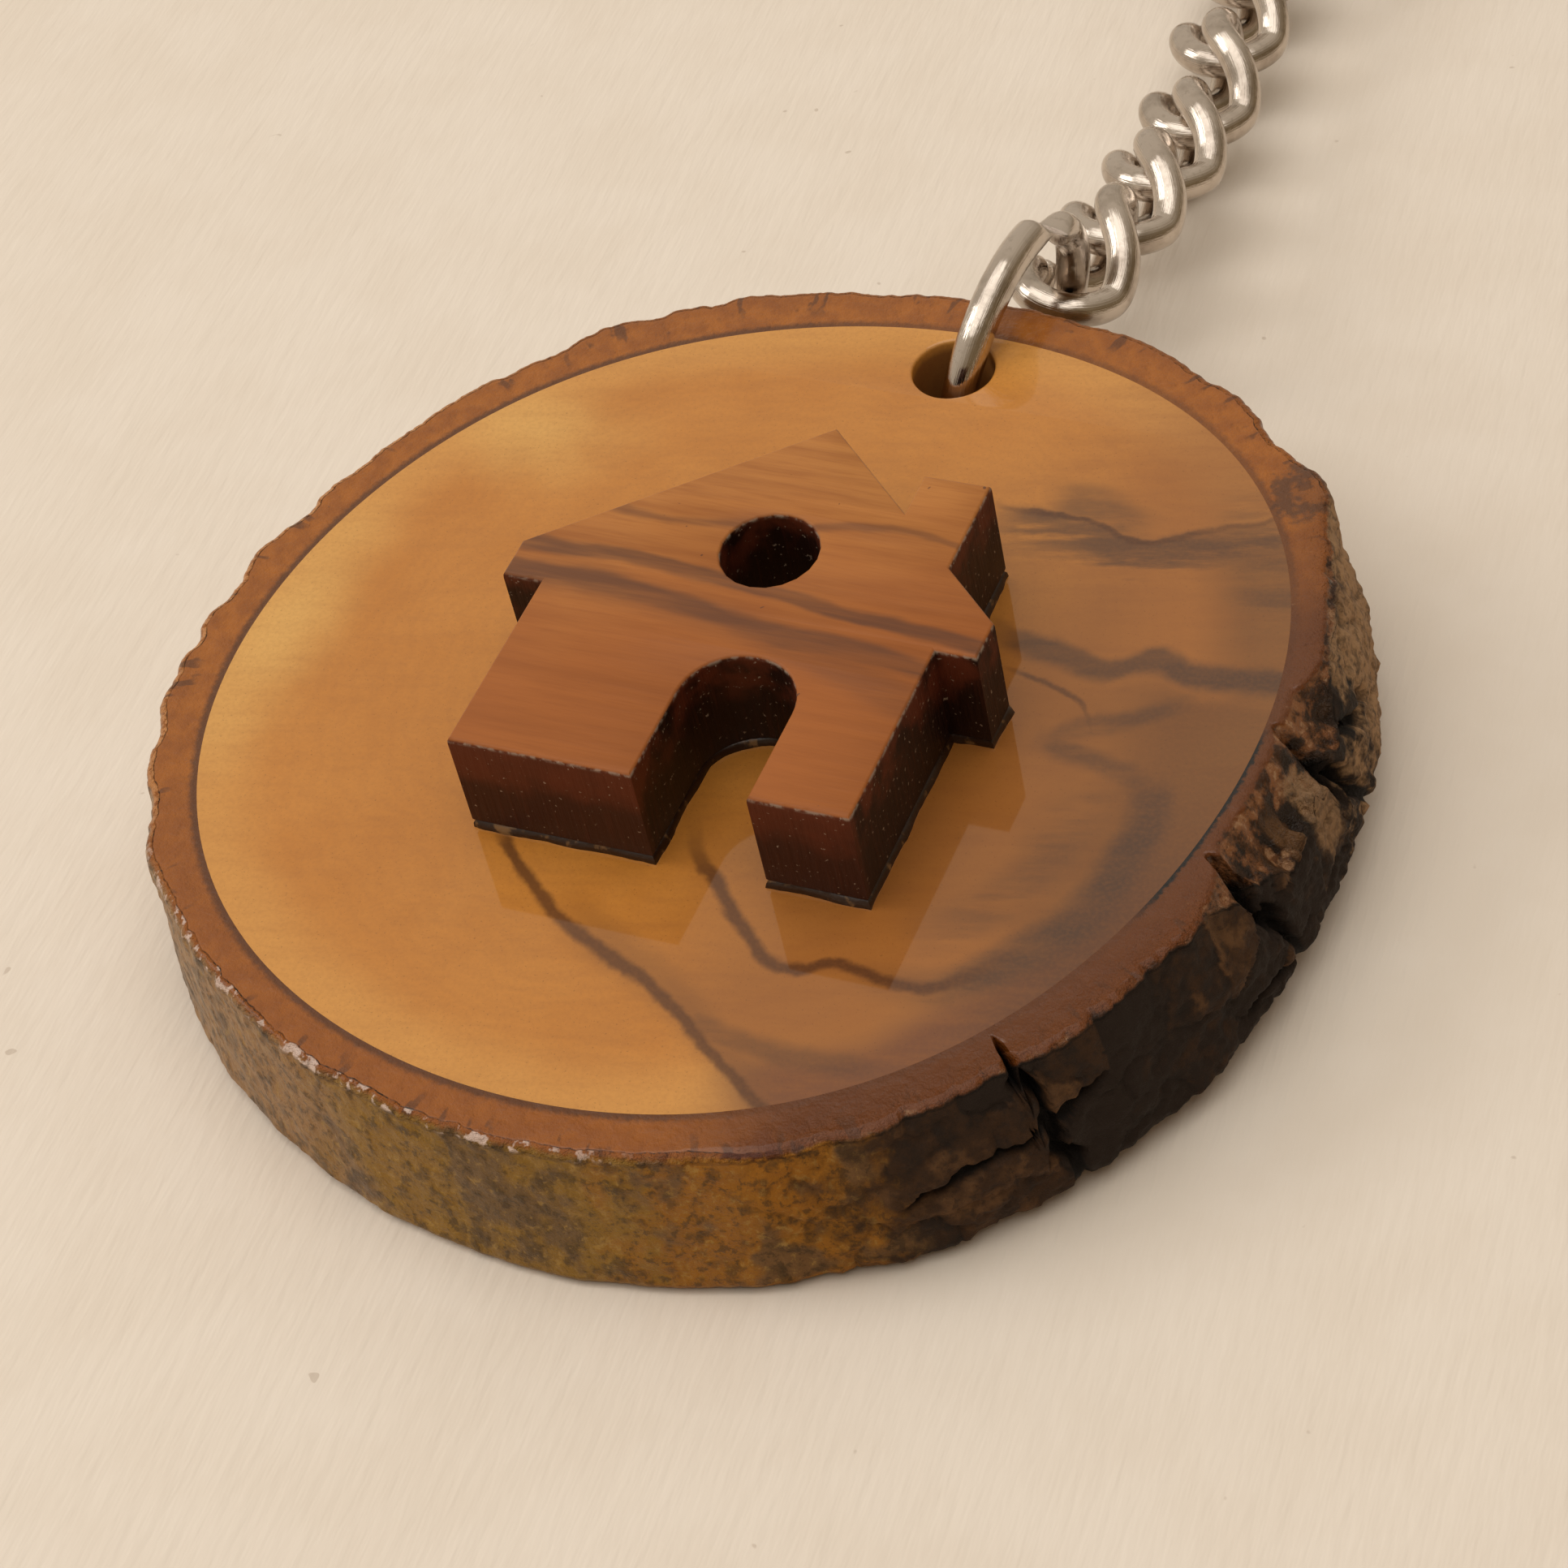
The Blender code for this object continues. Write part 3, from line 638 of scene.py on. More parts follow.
def bark_column(bearing):
    """One column of points round the bark's section, with what its finish needs to know of each."""
    inner = wood_radius(bearing) + WOOD_TO_BARK
    thick = thickness_share(bearing)
    drop = broken(bearing) + EDGE_CHIPS * thick * (1 + noise.noise(around(bearing, 30.0, 1.0)))
    begin = 1 - 0.8 * smooth_step(0.0, WIDEST_BREAK, drop)
    edge = BARK_EDGE * (1 - 0.5 * thick)
    top = SLICE_THICKNESS - drop
    rim, gap, tone = bark_outside(bearing, top - edge, thick)
    depth = thick * cracked(bearing, top)[1]
    mouth = 0.95 * (1 - depth / DEEPEST_CRACK) ** 0.4
    column = []

    def put(radius, height, *marks):
        column.append((around(bearing, radius, height), (radius - inner) / MM, thick, *marks))

    for i in range(BARK_TOP_ROWS + 1):
        share = i / BARK_TOP_ROWS
        radius = inner + (rim - edge - inner) * share
        place = around(bearing, radius, 0.0) / MM
        ragged = noise.noise(place * 0.7) * 0.5 + noise.fractal(place * 1.4, 0.9, 2.1, 3) * 0.25
        sunk = drop * smooth_step(begin - 0.05, 1.0, share + 0.3 * ragged * share * (1 - share))
        torn = smooth_step(0.0, TORN_DEPTH, sunk)
        opening = smooth_step(mouth - 0.05, 1.0, share)
        level = SLICE_THICKNESS - sunk - depth * opening + torn * min(ragged, 0.3) * TORN_RELIEF
        put(radius, min(level, SLICE_THICKNESS), 0.15 * share * thick, gap * opening, tone, torn)
    for turn in EDGE_TURNS:
        put(rim - edge * (1 - sin(turn)), level - edge * (1 - cos(turn)), 0.2 + 0.5 * turn, gap, tone, torn)
    for i in range(BARK_SIDE_ROWS + 1):
        height = (level - edge) + (BARK_EDGE - level + edge) * i / BARK_SIDE_ROWS
        radius, gap, tone = bark_outside(bearing, height, thick)
        put(radius, height, 1.0, gap, tone, torn * (1 - smooth_step(0.0, 0.3, i / BARK_SIDE_ROWS)))
    foot = radius - BARK_EDGE
    put(foot + BARK_EDGE * 0.7, BARK_EDGE * 0.3, 0.9, gap, tone, 0.0)
    for share in UNDERSIDE_ROWS:
        put(inner + (foot - inner) * share, 0.0, 0.0, 0.0, tone, 0.0)
    return column


def make_bark_mesh():
    noise.seed_set(CHUNK_SEED)
    columns = [bark_column(b) for b in bearings(BARK_STEPS)]
    count = len(columns[0])
    faces = []
    for i in range(BARK_STEPS):
        left, right = i * count, (i + 1) % BARK_STEPS * count
        for j in range(count):
            k = (j + 1) % count
            faces.append((left + j, right + j, right + k, left + k))
    spots = [spot for column in columns for spot in column]
    mesh = closed_mesh("bark_band", [spot[0] for spot in spots], faces, lean)
    for number, name in enumerate(BARK_MARKS, start=1):
        values = [spot[number] for spot in spots]
        mesh.attributes.new(name, "FLOAT", "POINT").data.foreach_set("value", values)
    return mesh


def spot_distance(bearing, height, spot):
    """How far a place on the bark's side is from the middle of a mark, 1 at the mark's edge."""
    middle, middle_height, half_width, half_height = spot
    across = (bearing - middle) * (RIM_RADIUS / MM / half_width)
    return distance(across, (height - middle_height) / half_height)


def make_bark_finish():
    material, shader, start = new_finish("bark", {"Coat Roughness": 0.09, "Specular IOR Level": 0.2})
    place = in_millimetres(start, (-slice_tilt, 0, 0))
    across, thick, skin, crack, plate, torn = (
        start.node("ShaderNodeAttribute", {"attribute_name": name}, out="Fac") for name in BARK_MARKS
    )
    x, y, z = axes(place)
    bearing = start.math("ARCTAN2", y, x)
    broad, middling, fine = grain(place, 0.33, 3.0), grain(place, 1.1, 4.0), grain(place, 3.6, 4.0)
    drift, waver, ragged = broad - 0.5, middling - 0.5, fine - 0.5
    tufts = grain(place, 1.9, 4.0, 0.7)

    # The sawn edge: orange-brown, darker on the right, with short cracks that run in from the rim and a knot.
    # Its knobs at the left get painted highlights, and the gap along the cambium is painted near black as
    # painted shade.
    rays = {"X": bearing * 26, "Y": across * 0.35, "Z": middling * 0.6}
    checks = ease(grain(start.node("ShaderNodeCombineXYZ", {}, rays), 1.2, 2.0), 0.6, 0.66)
    edge = between(skin, 0.02, 0.2, 0.7, 1.0)
    left = ease(abs(abs(bearing) - pi), 0.9, 0.5)
    right = ease(bearing, -1.35, -1.05) * ease(bearing + drift * 0.4, 0.75, 0.25)
    fore = between(bearing, -2.75, -2.45, -1.3, -1.0)
    knot = distance(x - KNOT_PLACE[0], y - KNOT_PLACE[1]) + waver * 2.2 + ragged * 0.8
    cambium = ease(across + ragged * 0.4, 0.48, 0.15)
    seen = 0.85 - right * 0.55 - between(bearing, 0.5, 0.8, 1.4, 1.9) * 0.35
    # Painted shade: the gap along the cambium on the right, painted near black.
    parted = ease(across + ragged * 0.5, 0.24, 0.08) * between(bearing, -0.42, -0.3, 0.06, 0.12)
    cut = coats(
        BARK_CUT,
        (ease(middling, 0.3, 0.7) * 0.6, BARK_CUT_DARK),
        # Painted highlight: bright orange glints on the knobs of the left edge.
        (edge * left * ease(fine, 0.4, 0.55), BARK_EDGE_HIGHLIGHT),
        (right * 0.9, BARK_CUT_RIGHT),
        (fore * 0.4, BARK_CUT_DARK),
        (ease(across + fine, 1.6, 3.2) * 0.4, BARK_CUT_DARK),
        (checks * ease(across + waver * 2, 0.7, 1.7) * 0.7, CAMBIUM),
        (ease(knot, KNOT_RADIUS + 0.7, KNOT_RADIUS - 0.1) * 0.35, KNOT_BROWN),
        (line_share(knot - KNOT_RADIUS, 0.1, 0.5) * 0.8, KNOT_BROWN),
        (cambium * seen, CAMBIUM),
        (parted, CRACK_SHADE_BLACK),
    )

    # The smooth side: grey at the left, olive at the front and ochre where it meets the thick bark.
    mossy = bearing + drift * 0.6
    fore_side = ease(mossy, 1.2, 0.7)
    moss = coats(
        MOSS_GREY,
        (ease(mossy, -1.95, -1.75) * fore_side, MOSS_OLIVE),
        (ease(bearing + waver * 0.2, -1.35, -1.27) * fore_side * 0.8, MOSS_OCHRE),
        (ease(broad, 0.5, 0.64) * (0.1 + ease(bearing, -1.6, -1.35) * fore_side * 0.5), MOSS_OCHRE),
        (ease(broad, 0.48, 0.38) * 0.75, MOSS_SLATE),
        (ease(middling, 0.5, 0.66) * 0.6, MOSS_DARK),
        (ease(tufts, 0.52, 0.64) * 0.65, MOSS_DARK),
        (ease(tufts, 0.46, 0.32) * 0.55, MOSS_PALE),
    )

    # The thick side: dark plates, brown or tan in places, with pale lichen towards the back.
    plates = coats(
        ROUGH_DARK,
        (ease(plate + waver * 0.9, 0.4, 0.7), ROUGH_BROWN),
        (ease(plate + drift * 1.2 + waver * 0.6, 0.7, 0.95), ROUGH_TAN),
        (ease(fine, 0.52, 0.68) * 0.5, ROUGH_DARK),
    )
    grown_over = ease(bearing + waver * 0.9 + ragged * 0.3, 0.08, 0.34)
    lichen = grown_over * (0.4 + ease(tufts, 0.36, 0.56) * 0.6) * ease(torn, 0.8, 0.3)

    # Broken faces: torn fibres in orange and tan near the wood, and dark crumbs further out.
    tear = coats(
        FRESH_BREAK,
        (ease(middling + ragged * 0.3, 0.42, 0.6), TORN_DARK),
        (ease(middling - ragged * 0.4, 0.42, 0.3), FRESH_PALE),
        (ease(torn + waver * 1.6 + drift, 0.75, 1.1), plates),
    )

    # All of them together, with single marks, painted highlights (glints) along the sawn edge at the front
    # left, and painted shade near black in the pit and the cracks' depths.
    rugged = ease(thick * 1.7 + waver * 1.2 + drift * 1.6, 0.6, 1.2)
    rugged = rugged * ease(bearing + waver * 0.3 + drift * 0.3, -1.08, -0.9)
    front = ease(abs(bearing + 0.95), 1.8, 1.5)
    outer = ease(skin + ragged * 0.4 + front * 0.3, 0.65, 1.05)
    chunk = spot_distance(bearing, z, CHUNK_SPOT) + waver * 1.6
    pit = spot_distance(bearing, z, PIT_SPOT) + waver * 1.8
    # Painted highlight: clusters of white glints along the outer sawn edge at the front left.
    edge_glints = edge * edge * ease(grain(place, 1.7, 3.0) + drift * 0.35, 0.52, 0.6)
    red = edge * ease(grain(place, 1.1, 2.0), 0.47, 0.55)
    colour = coats(
        cut,
        (ease(torn + ragged * 0.3, 0.04, 0.16), tear),
        (outer, coats(moss, (rugged, coats(plates, (lichen, LICHEN))))),
        (ease(chunk, 1.1, 0.7) * (0.6 + ease(fine, 0.35, 0.6) * 0.4), PALE_CHUNK),
        # Painted shade: a pit on the broken side, painted near black.
        (ease(pit, 1.0, 0.5) * 0.92, CRACK_SHADE_BLACK),
        (edge_glints * between(bearing, -2.6, -2.4, -1.5, -1.25) * 0.85, PAINTED_EDGE_GLINT),
        (red * between(bearing, -1.3, -1.22, -1.12, -1.04) * 0.85, LACQUER_RED),
        # Painted shade: the cracks' depths, painted near black.
        (ease(crack, 0.2, 0.65) * ease(thick, 0.3, 0.7), CRACK_SHADE_BLACK),
    )
    dull = outer | torn | edge * 0.7
    touch = 0.34 + outer * ease(thick, 0.2, 0.7) * 0.4
    bumps = relief(middling, BARK_GRAIN_DEPTH, relief(tufts * (0.4 + edge), TUFT_DEPTH))
    feed(shader, Base_Color=colour, Roughness=touch, Coat_Weight=0.55 - dull * 0.55, Normal=bumps)
    return material


bark_band = add_piece("bark_band", make_bark_mesh(), make_bark_finish(), sharp_angle=75)
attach(bark_band, "slice")
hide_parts("bark_ring")


# The film of wood glue that holds the house on. It fills the joint and has dried in a low glossy bead
# round the house's foot, wider in some places than in others.

HOUSE_CENTRE = Vector((1.9, -0.2)) * MM
HOUSE_HEIGHT = 20.5 * MM
HOUSE_WALLS = 17.6 * MM
HOUSE_EAVES = 21.2 * MM
HOUSE_EAVES_HEIGHT = 9.2 * MM
HOUSE_EAVES_EDGE = 2.0 * MM
HOUSE_BOARD = 4.9 * MM
DOOR_WIDTH = 5.0 * MM
DOOR_HEIGHT = 7.2 * MM
DOOR_OFFSET = 1.9 * MM
CHIMNEY_WIDTH = 3.0 * MM
CHIMNEY_OFFSET = 6.2 * MM
CHIMNEY_HEIGHT = 18.6 * MM
WINDOW_DIAMETER = 4.2 * MM
WINDOW_HEIGHT = 13.0 * MM
ARC_STEPS = 20
HOUSE_SEAT = SLICE_THICKNESS + 0.4 * MM
CUT_STEP = 0.3 * MM
# The bead's section from its foot up: how far it stands out of the house, and height, in millimetres.
BEAD_PROFILE = ((0.16, 0.0), (0.13, 0.08), (0.06, 0.22), (-0.1, 0.39))
GLUE = (0.03, 0.011, 0.004)
GLUE_PALE = (0.20, 0.10, 0.035)
GLUE_DEPTH = 0.03 * MM


def arc(centre, radius, start, end):
    turns = [start + (end - start) * i / ARC_STEPS for i in range(ARC_STEPS + 1)]
    return [(centre[0] + radius * cos(turn), centre[1] + radius * sin(turn)) for turn in turns]


def house_outlines(margin):
    """The house's outline and its round window, drawn in from the edge by a margin."""
    wall = HOUSE_WALLS / 2 - margin
    eaves = HOUSE_EAVES / 2 - margin
    eaves_low = HOUSE_EAVES_HEIGHT + margin
    slope = (HOUSE_HEIGHT - HOUSE_EAVES_HEIGHT - HOUSE_EAVES_EDGE) / (HOUSE_EAVES / 2)
    top = HOUSE_HEIGHT - margin * sqrt(1 + slope * slope)
    door = DOOR_WIDTH / 2 + margin
    left, right = (CHIMNEY_OFFSET + side * (CHIMNEY_WIDTH / 2 - margin) for side in (-1, 1))
    outline = [(-wall, margin), (DOOR_OFFSET - door, margin)]
    outline += arc((DOOR_OFFSET, DOOR_HEIGHT - DOOR_WIDTH / 2), door, pi, 0)
    outline += [(DOOR_OFFSET + door, margin), (wall, margin), (wall, eaves_low), (eaves, eaves_low)]
    outline += [(eaves, top - slope * eaves), (right, top - slope * right), (right, CHIMNEY_HEIGHT - margin)]
    outline += [(left, CHIMNEY_HEIGHT - margin), (left, top - slope * left), (0.0, top)]
    outline += [(-eaves, top - slope * eaves), (-eaves, eaves_low), (-wall, eaves_low)]
    window = arc((0.0, WINDOW_HEIGHT), WINDOW_DIAMETER / 2 + margin, 0, -2 * pi)[:-1]
    shift = HOUSE_CENTRE - Vector((0.0, HOUSE_HEIGHT / 2))
    return [[Vector(point) + shift for point in line] for line in (outline, window)]


plain_outlines = house_outlines(0.0)


def cut_rows(margin_at, height):
    """The house's outlines in short steps at a height, drawn in by a margin that may change along them."""
    rows = []
    for number, plain in enumerate(plain_outlines):
        row = []
        for i, start in enumerate(plain):
            j = (i + 1) % len(plain)
            steps = max(round((plain[j] - start).length / CUT_STEP), 1)
            for step in range(steps):
                spot = start.lerp(plain[j], step / steps)
                drawn = house_outlines(margin_at(spot))[number]
                row.append(drawn[i].lerp(drawn[j], step / steps).to_3d() + Vector((0.0, 0.0, height)))
        rows.append(row)
    return rows


def cut_mesh(name, sections):
    """A solid skinned over the house's outlines, from its lowest section to its highest."""
    points = []
    faces = []
    firsts = []
    for rows in sections:
        firsts.append([])
        for row in rows:
            firsts[-1].append(len(points))
            points += row
    for low, high in zip(firsts, firsts[1:]):
        for number, row in enumerate(sections[0]):
            faces += band(low[number], high[number], len(row))
    faces += cap(sections[0], firsts[0])
    faces += cap(sections[-1], firsts[-1])
    return closed_mesh(name, points, faces, lean)


def bead_margin(out):
    def margin_at(spot):
        place = spot.to_3d() / MM
        spread = 0.55 + 0.9 * noise.noise(place * 0.5) + 0.25 * noise.noise(place * 2.1)
        return -out * MM * max(spread, 0.15) if out > 0 else -out * MM
    return margin_at


def make_glue_finish():
    material, shader, start = new_finish("dried glue", {"Roughness": 0.3, "IOR": 1.45})
    place = in_millimetres(start)
    colour = coats(GLUE, (ease(grain(place, 1.6), 0.56, 0.7), GLUE_PALE))
    feed(shader, Base_Color=colour, Normal=relief(grain(place, 3.0, 2.0), GLUE_DEPTH))
    return material


bead_sections = [cut_rows(bead_margin(out), SLICE_THICKNESS + up * MM) for out, up in BEAD_PROFILE]
glue_bead = add_piece("glue_bead", cut_mesh("glue_bead", bead_sections), make_glue_finish(), sharp_angle=60)
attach(glue_bead, "slice")
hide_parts("glue_film")


# The house, cut by a laser from thin board of the same wood and left unlacquered. Its face shows straight
# grain with darker stripes and is painted paler towards the back and left as painted light; its cut sides are
# scorched nearly black, with the front faces painted redder as painted light, and pale fluff clings to the
# edges.

# The cut edge from its foot up: how far it is drawn in, and height, in millimetres.
BOARD_PROFILE = (
    (0.03, 0.0), (0.0, 0.08), (0.0, 1.2), (0.0, 2.4), (0.0, 3.6),
    (0.0, 4.6), (0.015, 4.76), (0.06, 4.85), (0.14, 4.9),
)
FACE_ORANGE = (0.36, 0.112, 0.023)
# Painted light: the face's paler tone towards the back and left.
FACE_PAINTED_LIGHT = (0.50, 0.205, 0.05)
FACE_DEEP = (0.255, 0.074, 0.015)
STRIPE = (0.11, 0.045, 0.024)
SCORCH = (0.015, 0.004, 0.0016)
SCORCH_RED = (0.105, 0.022, 0.008)
FLUFF = (0.42, 0.33, 0.25)
# Each stripe: places along it in millimetres from the slice's centre, half its width, soft edge, strength.
FACE_SPAN = 14
FACE_STRIPES = (
    (
        ((-12, 0.9), (-6.5, 0.7), (-2.8, 0.8), (1.0, 0.5), (4.8, 0.0), (9.3, -0.4), (14, -0.7)),
        0.2, 0.35, 0.8,
    ),
    (
        ((-12, -0.5), (-6.3, -0.7), (-3.6, -0.8), (-0.1, -1.2), (3.8, -1.9), (7.4, -2.0), (14, -3.2)),
        0.25, 0.5, 0.75,
    ),
    (
        ((-12, 3.7), (-6.5, 3.5), (-2.8, 3.3), (2, 4.0), (6.1, 4.8), (8.3, 4.8), (11.4, 4.1), (14, 3.6)),
        0.06, 0.3, 0.5,
    ),
    (((-12, -0.6), (0, -1.4), (5.6, -2.6), (9.2, -3.8), (14, -5.0)), 0.4, 0.9, 0.3),
)
THREAD_DEPTH = 0.05 * MM
BEAM_DEPTH = 0.04 * MM


def make_house_finish():
    material, shader, start = new_finish("scorched cut board", {"Specular IOR Level": 0.25})
    place = in_millimetres(start, (-slice_tilt, 0, 0))
    x, y, z = axes(place)
    up = z - HOUSE_SEAT / MM
    threads = grain(stretched(place, (0.1, 1.1, 0.4)), 1.0, 4.0, 0.6)
    hairs = grain(stretched(place, (0.5, 9.0, 3.0)), 1.0, 3.0)
    clouds = grain(place, 0.14, 2.0)
    sway = (grain(stretched(place, (0.2, 0.5, 0.3)), 1.0, 3.0) - 0.5) * 1.1

    colour = coats(
        FACE_ORANGE,
        # Painted light: the face is painted paler towards the back and left, where more light falls.
        (ease(y - x * 0.25 + (clouds - 0.5) * 12, -6, 11), FACE_PAINTED_LIGHT),
        (ease(threads, 0.35, 0.75) * 0.55, FACE_DEEP),
        (ease(hairs, 0.45, 0.75) * 0.25, FACE_DEEP),
    )
    for places, half_width, soft, strength in FACE_STRIPES:
        stripe = line_share(y + sway - along_line(x, places, FACE_SPAN, FACE_SPAN), half_width, soft)
        colour = coats(colour, (stripe * (0.6 + ease(threads, 0.3, 0.6) * 0.4) * strength, STRIPE))
    flecks = ease(grain(place, 2.2, 1.0), 0.78, 0.81)

    beam = grain(stretched(place, (5.0, 5.0, 0.35)), 1.0, 3.0)
    blotches = grain(place, 0.5, 3.0)
    # Painted light: the cut sides along the house's front are painted redder, as lit faces; the others stay
    # nearly black.
    painted_lit_front = ease(y - (HOUSE_CENTRE.y - HOUSE_HEIGHT / 2) / MM, 0.5, 0.15)
    specks = ease(grain(place, 4.5, 2.0), 0.66, 0.72)
    side = coats(
        SCORCH,
        (ease(up + (blotches - 0.5) * 3, 2.2, 4.2) * ease(blotches, 0.35, 0.6), SCORCH_RED),
        (ease(beam, 0.5, 0.75) * 0.22, SCORCH_RED),
        (painted_lit_front * (0.28 + ease(up + (blotches - 0.5) * 2, 2.2, 3.6) * 0.5), SCORCH_RED),
        (specks * 0.6, FLUFF),
    )
    below_face = HOUSE_BOARD / MM - up
    on_side = ease(below_face, 0.03, 0.16)
    fluff = on_side * ease(below_face, 0.3, 0.06) * ease(grain(place, 2.4, 3.0), 0.42, 0.6)
    colour = coats(colour, (flecks * 0.8, STRIPE), (on_side, side), (fluff * 0.75, FLUFF))
    normal = relief(threads, THREAD_DEPTH, relief(beam * on_side, BEAM_DEPTH))
    feed(shader, Base_Color=colour, Roughness=0.46 + on_side * 0.04, Normal=normal)
    return material


board_sections = [
    cut_rows(lambda spot, drawn=drawn: drawn * MM, HOUSE_SEAT + up * MM) for drawn, up in BOARD_PROFILE
]
house_board = add_piece("house_board", cut_mesh("house_board", board_sections), make_house_finish())
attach(house_board, "slice")
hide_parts("house_cutout")


# The jump ring: one turn of nickel-plated steel wire through the hole. Its two ends, nipped off with
# cutters, meet a little out of line at the top.

WIRE = 1.6 * MM
RING_RADIUS = 6.0 * MM
RING_CUT = 0.4 * MM
RING_CUT_BEARING = radians(60)
RING_SPREAD = 0.5 * MM
RING_HEADING = radians(-5.5)
RING_LEAN = radians(10)
RING_STEPS = 160
RING_ENDS = {"step": 0.12 * MM, "end_round": 0.1 * MM, "end_size": 0.9}
NIP_LENGTH = 1.3 * MM
NIP_LEAST = 0.15
NICKEL = (0.56, 0.49, 0.425)
# Worn, dull plating that also stands in for painted dark reflections.
NICKEL_DULL_DARK_REFLECTION = (0.27, 0.22, 0.175)
DRAWN_LINE_DEPTH = 0.02 * MM
DENT_DEPTH = 0.03 * MM
JOINED_WITHIN = 0.0001 * MM


def make_nickel_finish():
    material, shader, start = new_finish("nickel-plated wire", {"Metallic": 1.0})
    run = start.node("ShaderNodeAttribute", {"attribute_name": "run"}, out="Fac")
    section = start.node("ShaderNodeAttribute", {"attribute_name": "section"}, out="Vector")
    side_x, side_y, _ = axes(section)
    drawn = start.node("ShaderNodeCombineXYZ", {}, {"X": side_x * 6, "Y": side_y * 6, "Z": run * 0.25})
    lines = grain(drawn, 2.2, 3.0)
    place = in_millimetres(start)
    dull = ease(grain(place, 0.5, 4.0), 0.45, 0.7)
    scuffs = ease(grain(place, 3.2, 3.0), 0.55, 0.72)
    # Dull patches and scuffs: partly worn plating, partly painted dark reflections that add contrast.
    colour = coats(NICKEL, (dull * 0.6, NICKEL_DULL_DARK_REFLECTION), (scuffs * 0.25, NICKEL_DULL_DARK_REFLECTION))
    touch = 0.06 + dull * 0.1 + scuffs * 0.08
    normal = relief(lines, DRAWN_LINE_DEPTH, relief(grain(place, 0.6, 2.0), DENT_DEPTH))
    feed(shader, Base_Color=colour, Roughness=touch, Normal=normal)
    return material


def make_wire_tree():
    """Nodes that sweep a flat or round section of wire along a path, easing its size at the two cut ends."""
    tree = bpy.data.node_groups.new("drawn wire", "GeometryNodeTree")
    kinds = {"Path": "Geometry", "Width": "Float", "Thickness": "Float", "Corner": "Float", "Step": "Float"}
    kinds |= {"End round": "Float", "End size": "Float", "Corner steps": "Int", "Finish": "Material"}
    for name, kind in kinds.items():
        tree.interface.new_socket(name, in_out="INPUT", socket_type="NodeSocket" + kind)
    tree.interface.new_socket("Wire", in_out="OUTPUT", socket_type="NodeSocketGeometry")
    start = Tone(tree)
    given = tree.nodes.new("NodeGroupInput")
    sizes = {name: Tone(tree, given.outputs[name]) for name in kinds}

    def store(geometry, name, kind, value):
        """Keeps a value on each point, for the finish to read."""
        named = {"data_type": kind, "domain": "POINT"}
        sockets = {"Geometry": geometry, "Name": name, "Value": value}
        return start.node("GeometryNodeStoreNamedAttribute", named, sockets)

    path = start.node("GeometryNodeMeshToCurve", {}, {"Mesh": sizes["Path"]})
    steps = {"Curve": path, "Length": sizes["Step"]}
    path = start.node("GeometryNodeResampleCurve", {"mode": "LENGTH"}, steps)
    run = start.node("GeometryNodeSplineParameter", out="Length")
    whole = start.node("GeometryNodeSplineLength", out="Length")
    path = store(path, "run", "FLOAT", run * (1 / MM))
    flat = {"Width": sizes["Width"], "Height": sizes["Thickness"]}
    section = start.node("GeometryNodeCurvePrimitiveQuadrilateral", {}, flat)
    corners = {"Count": sizes["Corner steps"], "Radius": sizes["Corner"], "Limit Radius": True}
    section = start.node("GeometryNodeFilletCurve", {"mode": "POLY"}, {"Curve": section, **corners})
    spot = start.node("GeometryNodeInputPosition")
    spot = start.node("ShaderNodeVectorMath", {"operation": "SCALE"}, {"Vector": spot, "Scale": 1 / MM})
    section = store(section, "section", "FLOAT_VECTOR", spot)
    to_end = start.math("MINIMUM", run, whole - run)
    size = sizes["End size"] + (1 - sizes["End size"]) * ease(to_end / sizes["End round"], 0.0, 1.0)
    swept = {"Curve": path, "Profile Curve": section, "Scale": size, "Fill Caps": True}
    wire = start.node("GeometryNodeCurveToMesh", {}, swept)
    wire = start.node("GeometryNodeRealizeInstances", {}, {"Geometry": wire})
    wire = start.node("GeometryNodeSetMaterial", {}, {"Geometry": wire, "Material": sizes["Finish"]})
    tree.links.new(wire.socket, tree.nodes.new("NodeGroupOutput").inputs["Wire"])
    return tree


wire_tree = make_wire_tree()
nickel = make_nickel_finish()


def sweep(name, path, **sizes):
    """A plain mesh of wire along a path of points, made by the wire tree."""
    mesh = bpy.data.meshes.new(name)
    mesh.from_pydata(path, [(i, i + 1) for i in range(len(path) - 1)], [])
    holder = add_object(name, mesh)
    swept = holder.modifiers.new("drawn wire", "NODES")
    swept.node_group = wire_tree
    for item in wire_tree.interface.items_tree:
        value = sizes.get(item.name.replace(" ", "_").lower())
        if value is not None:
            swept[item.identifier] = value
    swept[wire_tree.interface.items_tree["Finish"].identifier] = nickel
    bpy.context.view_layer.update()
    wire = bpy.data.meshes.new_from_object(holder.evaluated_get(bpy.context.evaluated_depsgraph_get()))
    bpy.data.objects.remove(holder)
    turn_outward(wire, JOINED_WITHIN)
    return wire


ROUND = {"width": WIRE, "thickness": WIRE, "corner": WIRE / 2, "corner_steps": 6}
ring_turn = lean @ Matrix.Rotation(RING_HEADING, 4, "Z") @ Matrix.Rotation(RING_LEAN, 4, "Y")
ring_centre = Vector(hinges["link_1_rides_round_ring"]["pos_m"])


